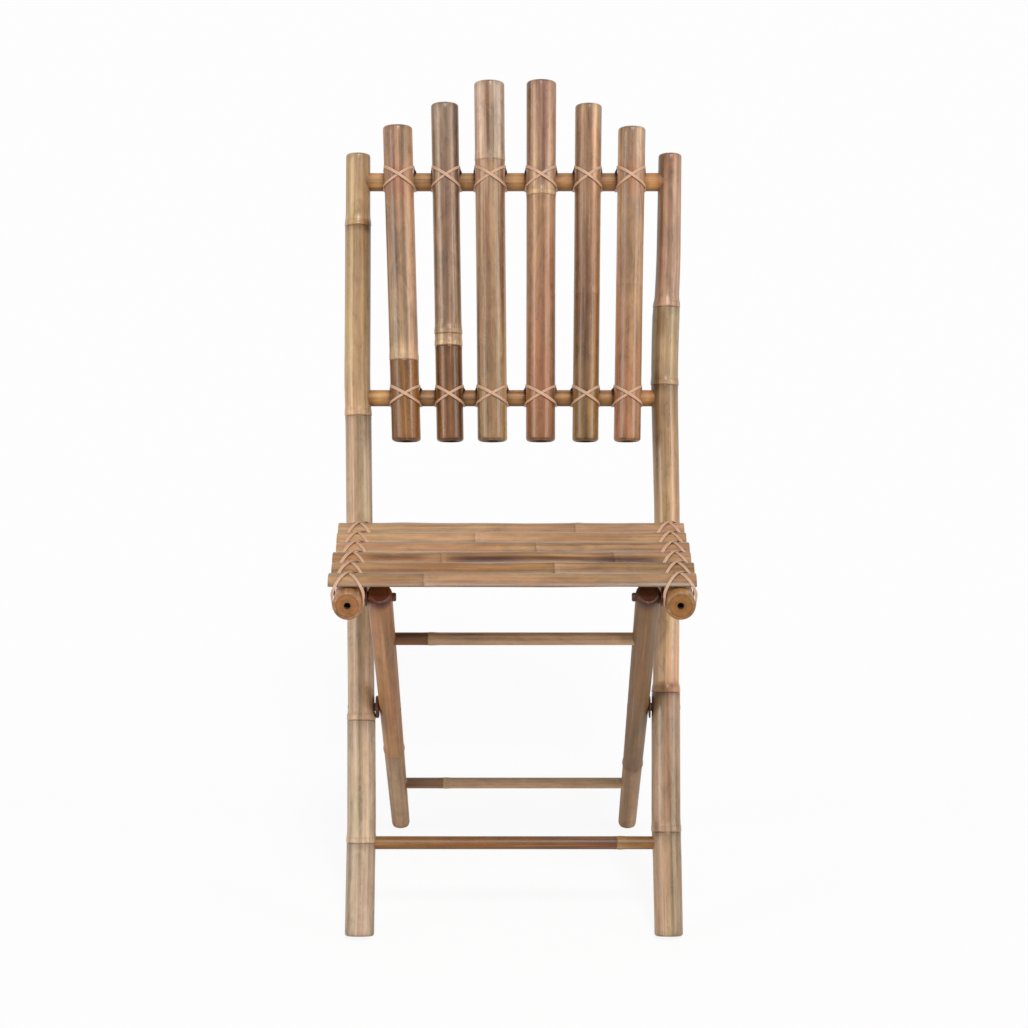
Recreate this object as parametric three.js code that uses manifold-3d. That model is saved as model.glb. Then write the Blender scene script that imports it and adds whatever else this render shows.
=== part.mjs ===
// Folding chair made of bamboo culms, pegged at its hinges and laced with split cane.
// Two long posts are the front legs and the back, two short legs cross them on pegs,
// and the seat hinges on the tops of the short legs and rests its rear end on two pegs.
// Millimetres, Z up, Y towards the back of the chair, X to the right of someone facing it.

import * as THREE from 'three';
import { mergeVertices } from 'three/addons/utils/BufferGeometryUtils.js';
import Module from 'manifold-3d';

const wasm = await Module();
wasm.setup();

// Fits shared by all pieces
const fitGap = 0.3;
const boreGap = 0.45;
const cutOverrun = 20;
const footTrim = 3;

// Angles in radians
const backLean = THREE.MathUtils.degToRad(20);
const legSlope = THREE.MathUtils.degToRad(43.3);
const seatTilt = THREE.MathUtils.degToRad(1);

// Posts, long culms from the front feet to the top of the back
const postLength = 882;
const postRadius = 16;
const postHalfSpacing = 171;
const postHollowRadius = 6;
const postHollowDepth = 34;

// Crossing hinge of posts and rear legs
const crossAlongPost = 254;
const hingePegRadius = 4.6;
const seatHingePegStub = 3.8;
const spacerRadius = 9.5;

// Rear legs, short culms from the rear feet to the seat hinge
const legTopRadius = 12.9;
const legFootRadius = 10.8;
const legGap = 3.5;
const hingeAboveCross = 275;
const legTopOverrun = 9;

// Stretchers
const frontStretcherAlong = 103;
const frontStretcherRadius = 7.2;
const upperStretcherAbove = 176;
const upperStretcherRadius = 6.8;
const lowerStretcherBelow = 220.5;
const lowerStretcherRadius = 6.4;
const tenonDepth = 9;

// Back rails and back slats, placed by shares of the height of a post above the seat
const lowRailShare = 0.345;
const lowRailRadius = 9.2;
const topRailShare = 0.925;
const topRailRadius = 10.4;
const backSlatRadius = 17.2;
const backSlatBottomShare = 0.223;
const backSlatTallestShare = 0.957;
const slatHollowRadius = 7;
const slatHollowDepth = 26;

// Seat rails, slats and the pegs that carry the rear of the seat
const seatRailInsidePost = 1.2;
const seatRailRadius = 15.4;
const seatRailFront = 34;
const seatRailBeforePost = 24.4;
const seatRailBevelShare = 0.58;
const pithRadius = 4.2;
const pithDepth = 40;
const seatSlatGap = 9.6;
const seatSlatSunk = 6.2;
const seatSlatWall = 4.6;
const seatSlatOverhang = 18.2;
const hingeCaneGap = 1.9;
const lastSlatInside = 40.9;
const seatSlatCount = 6;
const railNodeSlat = { left: 4, right: 3 };
const restPegRadius = 6;
const restPegReach = 19.5;

// Cane lacing
const caneRadius = 1.1;
const caneClearance = 0.6;
const caneLift = 2.9;
const leastStrandGap = 0.4;

// Sizes that keep together: the seat with the posts and the legs, the legs with both,
// and the back with the tops of the posts
const seatRailHalfSpacing = postHalfSpacing - seatRailInsidePost;
const seatSlatHalfLength = seatRailHalfSpacing + seatSlatOverhang;
const legCrossHalfSpacing = postHalfSpacing - postRadius - legGap - legTopRadius;
const legTopHalfSpacing = seatRailHalfSpacing - seatRailRadius - legGap - legTopRadius;
const seatAlongPost = crossAlongPost + (hingeAboveCross * Math.sin(legSlope)) / Math.cos(backLean);
const seatReach = hingeAboveCross * (Math.cos(legSlope) + Math.sin(legSlope) * Math.tan(backLean));
const seatRailRear = seatReach - seatRailBeforePost;
const hingeRoom = spacerRadius + hingeCaneGap - caneRadius - caneClearance;
const seatSlatRun = seatRailRear - lastSlatInside - hingeRoom - seatSlatGap / 2;
const seatSlatPitch = seatSlatRun / (seatSlatCount - 1.5);
const seatSlatRadius = (seatSlatPitch - seatSlatGap) / 2;
const firstSlatAhead = seatSlatRadius - hingeRoom;
const backHeight = postLength - seatAlongPost;
const lowRailAlong = seatAlongPost + lowRailShare * backHeight;
const topRailAlong = seatAlongPost + topRailShare * backHeight;
const backSlatBottom = seatAlongPost + backSlatBottomShare * backHeight;
const backSlatTallest = backSlatTallestShare * backHeight;

// Shares of the half turn behind a rail: where a strand moves along to the next slat,
// and how much of it the two tucked ends of a lacing take
const crossoverStart = 0.1;
const crossoverEnd = 0.66;
const tuckedShare = 0.4;

// Bamboo nodes, the raised rings of a culm, and the eased edge of a sawn end
const nodeReach = 7;
const nodeLip = 1.7;
const nodeHeight = 1.1;
const endRounding = 1.8;

// Facets
const culmSides = 16;
const thinSides = 12;
const pegSides = 12;
const arcSteps = 8;
const caneSides = 5;
const diagonalSteps = 8;
const wrapSteps = 8;
const gapSamples = 4;

// Natural shape of each culm: share of its length, then share of the size that it follows
const leftPostBowShares = [[0, 1.004], [0.12, 0.993], [0.29, 1], [0.53, 1.018], [0.69, 1.03],
  [0.8, 1.036], [1, 1.038]];
const rightPostBowShares = [[0, 1.006], [0.12, 0.991], [0.29, 0.994], [0.53, 1.008], [0.7, 0.994],
  [0.77, 1.003], [0.86, 1.026], [1, 1.04]];
const leftPostGirthShares = [[0, 1.02], [0.13, 1], [0.265, 0.985], [0.285, 0.93], [0.9, 0.91],
  [0.92, 0.87], [1, 0.86]];
const rightPostGirthShares = [[0, 0.99], [0.14, 1.01], [0.3, 1], [0.32, 0.92], [0.53, 0.9], [0.67, 0.94],
  [0.79, 0.97], [0.815, 0.87], [1, 0.82]];
const leftPostNodeShares = [0.119, 0.274, 0.662, 0.908];
const rightPostNodeShares = [0.133, 0.309, 0.701, 0.802];
const leftLegNodeShares = [0.364];
const rightLegNodeShares = [0.297];
const frontStretcherNodeShares = [0.86];
const upperStretcherNodeShares = [0.17];
const lowerStretcherNodeShares = [0.2];
const seatRailGirthShares = [[0, 1], [1, 0.985]];

// Back slats from left to right: places across the back at the foot and the top of the slat,
// as shares of the post spacing, with the height, girth and nodes as shares
const backSlatShares = [
  { foot: -0.704, top: -0.779, rise: 0.874, girth: 0.965, nodes: [0.26] },
  { foot: -0.417, top: -0.462, rise: 0.938, girth: 0.9, nodes: [0.285, 0.32] },
  { foot: -0.141, top: -0.164, rise: 0.998, girth: 1, nodes: [0.784] },
  { foot: 0.174, top: 0.181, rise: 1, girth: 0.98, nodes: [0.685] },
  { foot: 0.467, top: 0.495, rise: 0.936, girth: 0.87, nodes: [0.44] },
  { foot: 0.74, top: 0.785, rise: 0.871, girth: 0.9, nodes: [0.5] },
];
const backSlatGirthShares = [[0, 0.97], [0.5, 0.97], [1, 1]];

// Seat slats from front to rear: extra length at the left and right end and the nodes, as shares
const seatSlatShares = [
  { left: 0.013, right: -0.006, nodes: [0.265] },
  { left: 0.008, right: -0.004, nodes: [0.62] },
  { left: 0.018, right: -0.008, nodes: [0.31, 0.79] },
  { left: 0.011, right: -0.002, nodes: [0.57] },
  { left: 0.022, right: -0.007, nodes: [0.4] },
  { left: 0.028, right: -0.005, nodes: [0.69] },
];
const evenShare = [[0, 1], [1, 1]];
const straightShare = [[0, 0], [1, 0]];

const bambooColors = {
  post: 0xb8946a,
  slat: 0xa97d58,
  seat: 0xc09a6c,
  leg: 0x9c7857,
  stretcher: 0xa87f52,
  peg: 0x8a6040,
  cane: 0xc99a70,
};

// Value of a table of shares at a share, straight between its rows
function shareAt(table, share) {
  const next = table.findIndex(([place]) => place >= share);
  if (next <= 0) {
    return table[next === 0 ? 0 : table.length - 1][1];
  }
  const [fromPlace, from] = table[next - 1];
  const [toPlace, to] = table[next];
  return from + ((to - from) * (share - fromPlace)) / (toPlace - fromPlace);
}

// Closed body through flat sections of equally many points, each section a list of Vector3
function skin(sections, outline) {
  const count = outline.length;
  const positions = sections.flat().flatMap((point) => point.toArray());
  const index = [];
  for (let ring = 0; ring + 1 < sections.length; ring += 1) {
    for (let i = 0; i < count; i += 1) {
      const a = ring * count + i;
      const b = ring * count + ((i + 1) % count);
      index.push(a, b, b + count, a, b + count, a + count);
    }
  }
  const last = (sections.length - 1) * count;
  for (const [a, b, c] of THREE.ShapeUtils.triangulateShape(outline, [])) {
    index.push(a, c, b, last + a, last + b, last + c);
  }
  const geometry = new THREE.BufferGeometry();
  geometry.setAttribute('position', new THREE.Float32BufferAttribute(positions, 3));
  geometry.setIndex(index);
  return geometry;
}

// Points of a circle of radius 1
function unitCircle(sides) {
  return Array.from({ length: sides }, (_, i) => {
    const angle = (2 * Math.PI * i) / sides;
    return new THREE.Vector2(Math.cos(angle), Math.sin(angle));
  });
}

// Places of the rings of a culm: the rows of its tables, its eased ends and the rings of each node
function culmStations(length, tables, nodeShares, rounding) {
  const shares = [...new Set(tables.flatMap((table) => table.map(([share]) => share)))];
  const rows = shares.sort((a, b) => a - b).map((share) => ({ z: length * share, swell: 0 }));
  const clear = rows.filter(({ z }) =>
    nodeShares.every((share) => Math.abs(z - share * length) > nodeReach + nodeLip));
  if (rounding > 0) {
    clear[0].swell = -rounding;
    clear[clear.length - 1].swell = -rounding;
    clear.push({ z: rounding, swell: 0 });
    clear.push({ z: length - rounding, swell: 0 });
  }
  for (const share of nodeShares) {
    const middle = share * length;
    clear.push({ z: middle - nodeReach, swell: 0 });
    clear.push({ z: middle - nodeLip, swell: nodeHeight });
    clear.push({ z: middle + nodeLip, swell: nodeHeight });
    clear.push({ z: middle + nodeReach, swell: 0 });
  }
  return clear.sort((a, b) => a.z - b.z);
}

// Culm along Z from zero, with its nodes, its bow along X and a bevel on its far end
function culm({ length, radius, girth = evenShare, bow = straightShare, bowSize = 1, nodes = [],
  sides = culmSides, rounding = 0, bevelShare = 0 }) {
  const outline = unitCircle(sides);
  const sections = culmStations(length, [girth, bow], nodes, rounding).map(({ z, swell }) => {
    const share = z / length;
    const reach = radius * shareAt(girth, share) + swell;
    const middle = bowSize * shareAt(bow, share);
    const slant = share === 1 ? bevelShare : 0;
    return outline.map((p) => new THREE.Vector3(middle + reach * p.x, reach * p.y, z + slant * reach * p.y));
  });
  return skin(sections, outline);
}

// Cylinder between two points, for pegs and for the tools that cut bores
function rod(from, to, radius, sides = pegSides) {
  const outline = unitCircle(sides);
  const axis = to.clone().sub(from).normalize();
  const turn = new THREE.Quaternion().setFromUnitVectors(new THREE.Vector3(0, 0, 1), axis);
  const sections = [from, to].map((end) => outline.map((p) =>
    new THREE.Vector3(radius * p.x, radius * p.y, 0).applyQuaternion(turn).add(end)));
  return skin(sections, outline);
}

// Radius of a faceted bore that leaves the gap clear of a peg of the same facets
function boreRadius(pegRadius, sides = pegSides) {
  return (pegRadius + boreGap) / Math.cos(Math.PI / sides);
}

function toSolid(geometry) {
  const plain = geometry.clone();
  plain.deleteAttribute('normal');
  plain.deleteAttribute('uv');
  const merged = mergeVertices(plain);
  const vertProperties = new Float32Array(merged.attributes.position.array);
  const triVerts = new Uint32Array(merged.index.array);
  return new wasm.Manifold(new wasm.Mesh({ numProp: 3, vertProperties, triVerts }));
}

function cut(geometry, tools) {
  const solid = tools.reduce((body, tool) => body.subtract(toSolid(tool)), toSolid(geometry));
  const { vertProperties, triVerts } = solid.getMesh();
  const result = new THREE.BufferGeometry();
  result.setAttribute('position', new THREE.BufferAttribute(vertProperties, 3));
  result.setIndex(new THREE.BufferAttribute(triVerts, 1));
  return result;
}

function piece(group, name, geometry, color) {
  geometry.computeVertexNormals();
  const material = new THREE.MeshStandardMaterial({ color, roughness: 0.55, metalness: 0 });
  const mesh = new THREE.Mesh(geometry, material);
  mesh.name = name;
  group.add(mesh);
  return mesh;
}

const at = (x, y, z) => new THREE.Vector3(x, y, z);
const sideNames = ['left', 'right'];
const sideOf = { left: -1, right: 1 };

// Places worked out from the driving dimensions, in the frame of the floor and the front feet
const postEndDrop = postRadius * Math.sin(backLean) - footTrim;
const cross = at(0, crossAlongPost * Math.sin(backLean), postEndDrop + crossAlongPost * Math.cos(backLean));
const legUp = at(0, -Math.cos(legSlope), Math.sin(legSlope));
const hinge = cross.clone().addScaledVector(legUp, hingeAboveCross);
const legEndHeight = legFootRadius * Math.cos(legSlope) - footTrim;
const legBelowCross = (cross.z - legEndHeight) / Math.sin(legSlope);
const backSlatSeat = Math.max(lowRailRadius, topRailRadius) + nodeHeight + fitGap;
const seatSlatSeat = seatRailRadius + nodeHeight + fitGap;

const chair = new THREE.Group();
const backFrame = new THREE.Group();
backFrame.position.set(0, 0, postEndDrop);
backFrame.rotation.x = -backLean;
const legFrame = new THREE.Group();
legFrame.position.copy(cross);
legFrame.rotation.x = Math.PI / 2 - legSlope;
const seatFrame = new THREE.Group();
seatFrame.position.copy(hinge);
seatFrame.rotation.x = -seatTilt;
chair.add(backFrame, legFrame, seatFrame);
chair.updateMatrixWorld(true);

// Point of one frame in the coordinates of another
function carry(point, from, to) {
  return to.worldToLocal(from.localToWorld(point.clone()));
}

function postBow(side) {
  return side === 'left' ? leftPostBowShares : rightPostBowShares;
}

function postGirth(side) {
  return side === 'left' ? leftPostGirthShares : rightPostGirthShares;
}

function postCentre(side, along) {
  return sideOf[side] * postHalfSpacing * shareAt(postBow(side), along / postLength);
}

function postReach(side, along) {
  return postRadius * shareAt(postGirth(side), along / postLength);
}

function legCentre(side, above) {
  const spread = (legTopHalfSpacing - legCrossHalfSpacing) / hingeAboveCross;
  return sideOf[side] * (legCrossHalfSpacing + spread * above);
}

function legReach(side, above) {
  const length = legBelowCross + hingeAboveCross;
  return legFootRadius + ((legTopRadius - legFootRadius) * (above + legBelowCross)) / length;
}

// Box below the floor in the coordinates of a frame, which trims a foot flat
function floorTool(frame, foot) {
  const tool = new THREE.BoxGeometry(4 * cutOverrun, 4 * cutOverrun, 2 * cutOverrun);
  const spot = frame.localToWorld(foot.clone());
  tool.translate(spot.x, spot.y, -cutOverrun);
  tool.applyMatrix4(frame.matrixWorld.clone().invert());
  return tool;
}

// Tool for the socket of a cross piece in the inner side of a post or leg
function socketTool(side, middle, reach, along, radius) {
  const mouth = at(middle - sideOf[side] * (reach + cutOverrun), 0, along);
  const floor = at(middle - sideOf[side] * (reach - tenonDepth - fitGap), 0, along);
  return rod(mouth, floor, boreRadius(radius, thinSides), thinSides);
}

// Tool for the bore of a hinge peg, from side to side through a culm
function hingeBore(middle, along) {
  return rod(at(middle - 2 * cutOverrun, 0, along), at(middle + 2 * cutOverrun, 0, along),
    boreRadius(hingePegRadius));
}

// Peg under the rear end of a seat rail, in the frame of the posts
function restPegEnds(side) {
  const height = -seatRailRadius - fitGap - restPegRadius;
  const tipInSeat = at(sideOf[side] * seatRailHalfSpacing, seatRailRear - restPegReach, height);
  const tip = carry(tipInSeat, seatFrame, backFrame);
  const reach = postReach(side, tip.z);
  const run = (reach - tip.y) / Math.cos(backLean - seatTilt);
  const tailInSeat = tipInSeat.clone().add(at(0, run, 0));
  return [tipInSeat, tailInSeat].map((point) => carry(point, seatFrame, backFrame));
}

// Posts with sockets for the rails and the front stretcher and bores for the pegs
function buildPosts() {
  for (const side of sideNames) {
    const body = culm({
      length: postLength,
      radius: postRadius,
      girth: postGirth(side),
      bow: postBow(side),
      bowSize: sideOf[side] * postHalfSpacing,
      nodes: side === 'left' ? leftPostNodeShares : rightPostNodeShares,
      rounding: endRounding,
    });
    const socket = (along, radius) =>
      socketTool(side, postCentre(side, along), postReach(side, along), along, radius);
    const [tip, tail] = restPegEnds(side);
    const run = tail.clone().sub(tip).normalize();
    const top = postCentre(side, postLength);
    const tools = [
      socket(frontStretcherAlong, frontStretcherRadius),
      socket(lowRailAlong, lowRailRadius),
      socket(topRailAlong, topRailRadius),
      hingeBore(postCentre(side, crossAlongPost), crossAlongPost),
      rod(tip, tail.clone().addScaledVector(run, cutOverrun), boreRadius(restPegRadius)),
      rod(at(top, 0, postLength - postHollowDepth), at(top, 0, postLength + cutOverrun), postHollowRadius),
      floorTool(backFrame, at(postCentre(side, 0), 0, 0)),
    ];
    piece(backFrame, `${side}_post`, cut(body, tools), bambooColors.post);
    piece(backFrame, `${side}_seat_rest_peg`, rod(tip, tail, restPegRadius), bambooColors.peg);
  }
}

// Culm laid across between two posts or legs, its ends tenoned into them
function crossPiece(group, name, along, radius, nodes, centre, reach) {
  const [from, to] = sideNames.map((side) =>
    centre(side, along) - sideOf[side] * (reach(side, along) - tenonDepth));
  const body = culm({ length: to - from, radius, nodes, sides: thinSides });
  body.rotateY(Math.PI / 2);
  body.translate(from, 0, along);
  piece(group, name, body, bambooColors.stretcher);
}

function buildBackSlats() {
  backSlatShares.forEach(({ foot, top, rise, girth, nodes }, i) => {
    const length = backSlatTallest * rise;
    const radius = backSlatRadius * girth;
    const body = culm({
      length,
      radius,
      girth: backSlatGirthShares,
      bow: [[0, foot], [1, foot + (top - foot) * rise]],
      bowSize: postHalfSpacing,
      nodes,
      rounding: endRounding,
    });
    const hollows = [0, 1].map((end) => {
      const middle = postHalfSpacing * (foot + (top - foot) * rise * end);
      const mouth = at(middle, 0, end ? length + cutOverrun : -cutOverrun);
      const floor = at(middle, 0, end ? length - slatHollowDepth : slatHollowDepth);
      return end ? rod(floor, mouth, slatHollowRadius * girth) : rod(mouth, floor, slatHollowRadius * girth);
    });
    const slat = cut(body, hollows);
    slat.translate(0, -(backSlatSeat + radius), backSlatBottom);
    piece(backFrame, `back_slat_${i + 1}`, slat, bambooColors.slat);
  });
}

// Rear legs with their rounded tops, bores for the hinge pegs and sockets for the stretchers
function buildLegs() {
  const length = legBelowCross + hingeAboveCross + legTopOverrun;
  const footShare = legFootRadius / legTopRadius;
  for (const side of sideNames) {
    const low = legCentre(side, -legBelowCross);
    const high = legCentre(side, hingeAboveCross + legTopOverrun);
    const body = culm({
      length,
      radius: legTopRadius,
      girth: [[0, footShare], [1, 1]],
      bow: [[0, low], [1, high]],
      nodes: side === 'left' ? leftLegNodeShares : rightLegNodeShares,
      rounding: endRounding,
    });
    body.translate(0, 0, -legBelowCross);
    const socket = (above, radius) =>
      socketTool(side, legCentre(side, above), legReach(side, above), above, radius);
    const tools = [
      hingeBore(legCentre(side, 0), 0),
      hingeBore(legCentre(side, hingeAboveCross), hingeAboveCross),
      socket(upperStretcherAbove, upperStretcherRadius),
      socket(-lowerStretcherBelow, lowerStretcherRadius),
      floorTool(legFrame, at(low, 0, -legBelowCross)),
    ];
    piece(legFrame, `${side}_rear_leg`, cut(body, tools), bambooColors.leg);
  }
}

// Peg from inside a leg out through the piece beside it, and the spacer ring between them
function hingePair({ group, label, height, stub, innerCentre, innerReach, outerCentre, outerReach }) {
  for (const side of sideNames) {
    const sign = sideOf[side];
    const inner = innerCentre(side) - sign * (innerReach + stub);
    const outer = outerCentre(side) + sign * outerReach(side);
    piece(group, `${side}_${label}_peg`, rod(at(inner, 0, height), at(outer, 0, height), hingePegRadius),
      bambooColors.peg);
    const from = innerCentre(side) + sign * (innerReach + fitGap);
    const to = outerCentre(side) - sign * (outerReach(side) + nodeHeight + fitGap);
    const overrun = at(sign * cutOverrun, 0, 0);
    const bore = rod(at(from, 0, height).sub(overrun), at(to, 0, height).add(overrun),
      boreRadius(hingePegRadius));
    const ring = cut(rod(at(from, 0, height), at(to, 0, height), spacerRadius), [bore]);
    piece(group, `${side}_${label}_spacer`, ring, bambooColors.peg);
  }
}

// Place of a seat slat along the rails, counted from one at the front
function slatAlong(number) {
  return (number - 1) * seatSlatPitch - firstSlatAhead;
}

// Seat rails with the pith hole in the front end and a rear end bevelled clear of the posts
function buildSeatRails() {
  for (const side of sideNames) {
    const sign = sideOf[side];
    const length = seatRailFront + seatRailRear;
    const nodeAlong = seatRailFront + slatAlong(railNodeSlat[side]);
    const body = culm({
      length,
      radius: seatRailRadius,
      girth: seatRailGirthShares,
      nodes: [nodeAlong / length],
      bevelShare: -seatRailBevelShare,
    });
    body.rotateX(-Math.PI / 2);
    body.translate(sign * seatRailHalfSpacing, -seatRailFront, 0);
    const mouth = at(sign * seatRailHalfSpacing, -seatRailFront - cutOverrun, 0);
    const floor = at(sign * seatRailHalfSpacing, -seatRailFront + pithDepth, 0);
    const tools = [rod(mouth, floor, pithRadius), hingeBore(sign * seatRailHalfSpacing, 0)];
    piece(seatFrame, `${side}_seat_rail`, cut(body, tools), bambooColors.seat);
  }
}

// Cross section of a split culm: outer arc, then inner arc back, both open side down
function splitOutline(swell) {
  const outer = seatSlatRadius + swell;
  const inner = seatSlatRadius - seatSlatWall;
  const outerStart = Math.asin(seatSlatSunk / outer);
  const innerStart = Math.asin(seatSlatSunk / inner);
  const arc = (radius, start, turn) => Array.from({ length: arcSteps + 1 }, (_, i) => {
    const share = turn > 0 ? i / arcSteps : 1 - i / arcSteps;
    const angle = start + (Math.PI - 2 * start) * share;
    return new THREE.Vector2(radius * Math.cos(angle), radius * Math.sin(angle) - seatSlatSunk);
  });
  return [...arc(outer, outerStart, 1), ...arc(inner, innerStart, -1)];
}

function buildSeatSlats() {
  seatSlatShares.forEach(({ left, right, nodes }, i) => {
    const from = -seatSlatHalfLength * (1 + left);
    const length = seatSlatHalfLength * (1 + right) - from;
    const middle = slatAlong(i + 1);
    const sections = culmStations(length, [evenShare], nodes, 0).map(({ z, swell }) =>
      splitOutline(swell).map((p) => at(from + z, middle + p.x, seatSlatSeat + p.y)));
    piece(seatFrame, `seat_slat_${i + 1}`, skin(sections, splitOutline(0)), bambooColors.seat);
  });
}

// Lacing of cane along a rail: at each slat two crossed runs over its face, joined behind the rail.
// Along the rail is s, across it is q and away from it towards the slats is o.
function lacingPath(rail, slats) {
  const points = [];
  const across = rail + caneRadius + caneClearance;
  const diagonal = (slat, turn, lift) => {
    const reach = slat.radius + caneRadius + caneClearance;
    for (let i = 0; i <= diagonalSteps; i += 1) {
      const angle = Math.PI * (i / diagonalSteps - 0.5);
      const s = slat.s + turn * reach * Math.sin(angle);
      points.push(at(s, across * Math.sin(angle), slat.centre + (reach + lift) * Math.cos(angle)));
    }
  };
  const behind = (fromS, toS, fromShare, toShare, lift) => {
    for (let i = 0; i <= wrapSteps; i += 1) {
      const share = fromShare + ((toShare - fromShare) * i) / wrapSteps;
      const angle = Math.PI * share;
      const shift = THREE.MathUtils.smoothstep(share, crossoverStart, crossoverEnd);
      const s = fromS + (toS - fromS) * shift;
      points.push(at(s, across * Math.cos(angle), -(across + lift) * Math.sin(angle)));
    }
  };
  slats.forEach((slat, i) => {
    const reach = slat.radius + caneRadius + caneClearance;
    const next = slats[i + 1];
    if (i === 0) {
      behind(slat.s - reach, slat.s - reach, 1 - tuckedShare, 1, 0);
    }
    diagonal(slat, 1, 0);
    behind(slat.s + reach, slat.s + reach, 0, 1, 0);
    diagonal(slat, -1, caneLift);
    if (next) {
      const nextReach = next.radius + caneRadius + caneClearance;
      behind(slat.s - reach, next.s - nextReach, 0, 1, caneLift);
    } else {
      behind(slat.s - reach, slat.s - reach, 0, tuckedShare, 0);
    }
  });
  return points;
}

// Round strand through a list of points, its rings carried along without twist
function strand(points) {
  const outline = unitCircle(caneSides);
  const tangentAt = (i) => points[Math.min(i + 1, points.length - 1)].clone()
    .sub(points[Math.max(i - 1, 0)]).normalize();
  let tangent = tangentAt(0);
  const normal = at(tangent.y, -tangent.x, 0).normalize();
  const sections = points.map((point, i) => {
    const next = tangentAt(i);
    normal.applyQuaternion(new THREE.Quaternion().setFromUnitVectors(tangent, next));
    tangent = next;
    const side = next.clone().cross(normal);
    return outline.map((p) => point.clone()
      .addScaledVector(normal, caneRadius * p.x)
      .addScaledVector(side, caneRadius * p.y));
  });
  return skin(sections, outline);
}

// Least clear distance between stretches of a strand that are not neighbours along it
function leastGap(points) {
  const apart = 4 * caneRadius;
  const dense = points.slice(1).flatMap((point, i) =>
    Array.from({ length: gapSamples }, (_, k) => points[i].clone().lerp(point, k / gapSamples)));
  const run = [0];
  for (let i = 1; i < dense.length; i += 1) {
    run.push(run[i - 1] + dense[i].distanceTo(dense[i - 1]));
  }
  let least = Infinity;
  for (let i = 0; i < dense.length; i += 1) {
    for (let j = i + 1; j < dense.length; j += 1) {
      if (run[j] - run[i] > 2 * apart) {
        least = Math.min(least, dense[i].distanceTo(dense[j]) - 2 * caneRadius);
      }
    }
  }
  return least;
}

function lace(group, name, railRadius, slats, place) {
  const path = lacingPath(railRadius, slats);
  const gap = leastGap(path);
  console.log(`${name}: least gap to itself ${gap.toFixed(2)} mm`);
  if (gap < leastStrandGap) {
    throw new Error(`${name} touches itself`);
  }
  piece(group, name, strand(path.map(place)), bambooColors.cane);
}

function buildLacings() {
  const rails = [['low_back_rail_lacing', lowRailAlong, lowRailRadius],
    ['top_back_rail_lacing', topRailAlong, topRailRadius]];
  for (const [name, along, radius] of rails) {
    const slats = backSlatShares.map(({ foot, top, girth }) => {
      const rise = (along - backSlatBottom) / backSlatTallest;
      const slatRadius = backSlatRadius * girth;
      const s = postHalfSpacing * (foot + (top - foot) * rise);
      return { s, radius: slatRadius, centre: backSlatSeat + slatRadius };
    });
    lace(backFrame, name, radius, slats, (p) => at(p.x, -p.z, along + p.y));
  }
  const seatSlats = seatSlatShares.map((_, i) =>
    ({ s: slatAlong(i + 1), radius: seatSlatRadius, centre: seatSlatSeat - seatSlatSunk }));
  for (const side of sideNames) {
    const middle = sideOf[side] * seatRailHalfSpacing;
    lace(seatFrame, `${side}_seat_lacing`, seatRailRadius, seatSlats, (p) => at(middle - p.y, p.x, p.z));
  }
}

buildPosts();
crossPiece(backFrame, 'front_stretcher', frontStretcherAlong, frontStretcherRadius,
  frontStretcherNodeShares, postCentre, postReach);
crossPiece(backFrame, 'low_back_rail', lowRailAlong, lowRailRadius, [], postCentre, postReach);
crossPiece(backFrame, 'top_back_rail', topRailAlong, topRailRadius, [], postCentre, postReach);
buildBackSlats();
buildLegs();
crossPiece(legFrame, 'upper_leg_stretcher', upperStretcherAbove, upperStretcherRadius,
  upperStretcherNodeShares, legCentre, legReach);
crossPiece(legFrame, 'lower_leg_stretcher', -lowerStretcherBelow, lowerStretcherRadius,
  lowerStretcherNodeShares, legCentre, legReach);
hingePair({
  group: backFrame,
  label: 'cross',
  height: crossAlongPost,
  stub: 0,
  innerCentre: (side) => legCentre(side, 0),
  innerReach: legReach('left', 0),
  outerCentre: (side) => postCentre(side, crossAlongPost),
  outerReach: (side) => postReach(side, crossAlongPost),
});
buildSeatRails();
buildSeatSlats();
hingePair({
  group: seatFrame,
  label: 'seat_hinge',
  height: 0,
  stub: seatHingePegStub,
  innerCentre: (side) => legCentre(side, hingeAboveCross),
  innerReach: legReach('left', hingeAboveCross),
  outerCentre: (side) => sideOf[side] * seatRailHalfSpacing,
  outerReach: () => seatRailRadius,
});
buildLacings();

// The middle of the base of the whole chair is the origin
chair.updateMatrixWorld(true);
const extent = new THREE.Box3().setFromObject(chair, true);
const middle = extent.getCenter(new THREE.Vector3());
chair.position.set(-middle.x, -middle.y, -extent.min.z);
chair.updateMatrixWorld(true);

export default chair;
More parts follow.
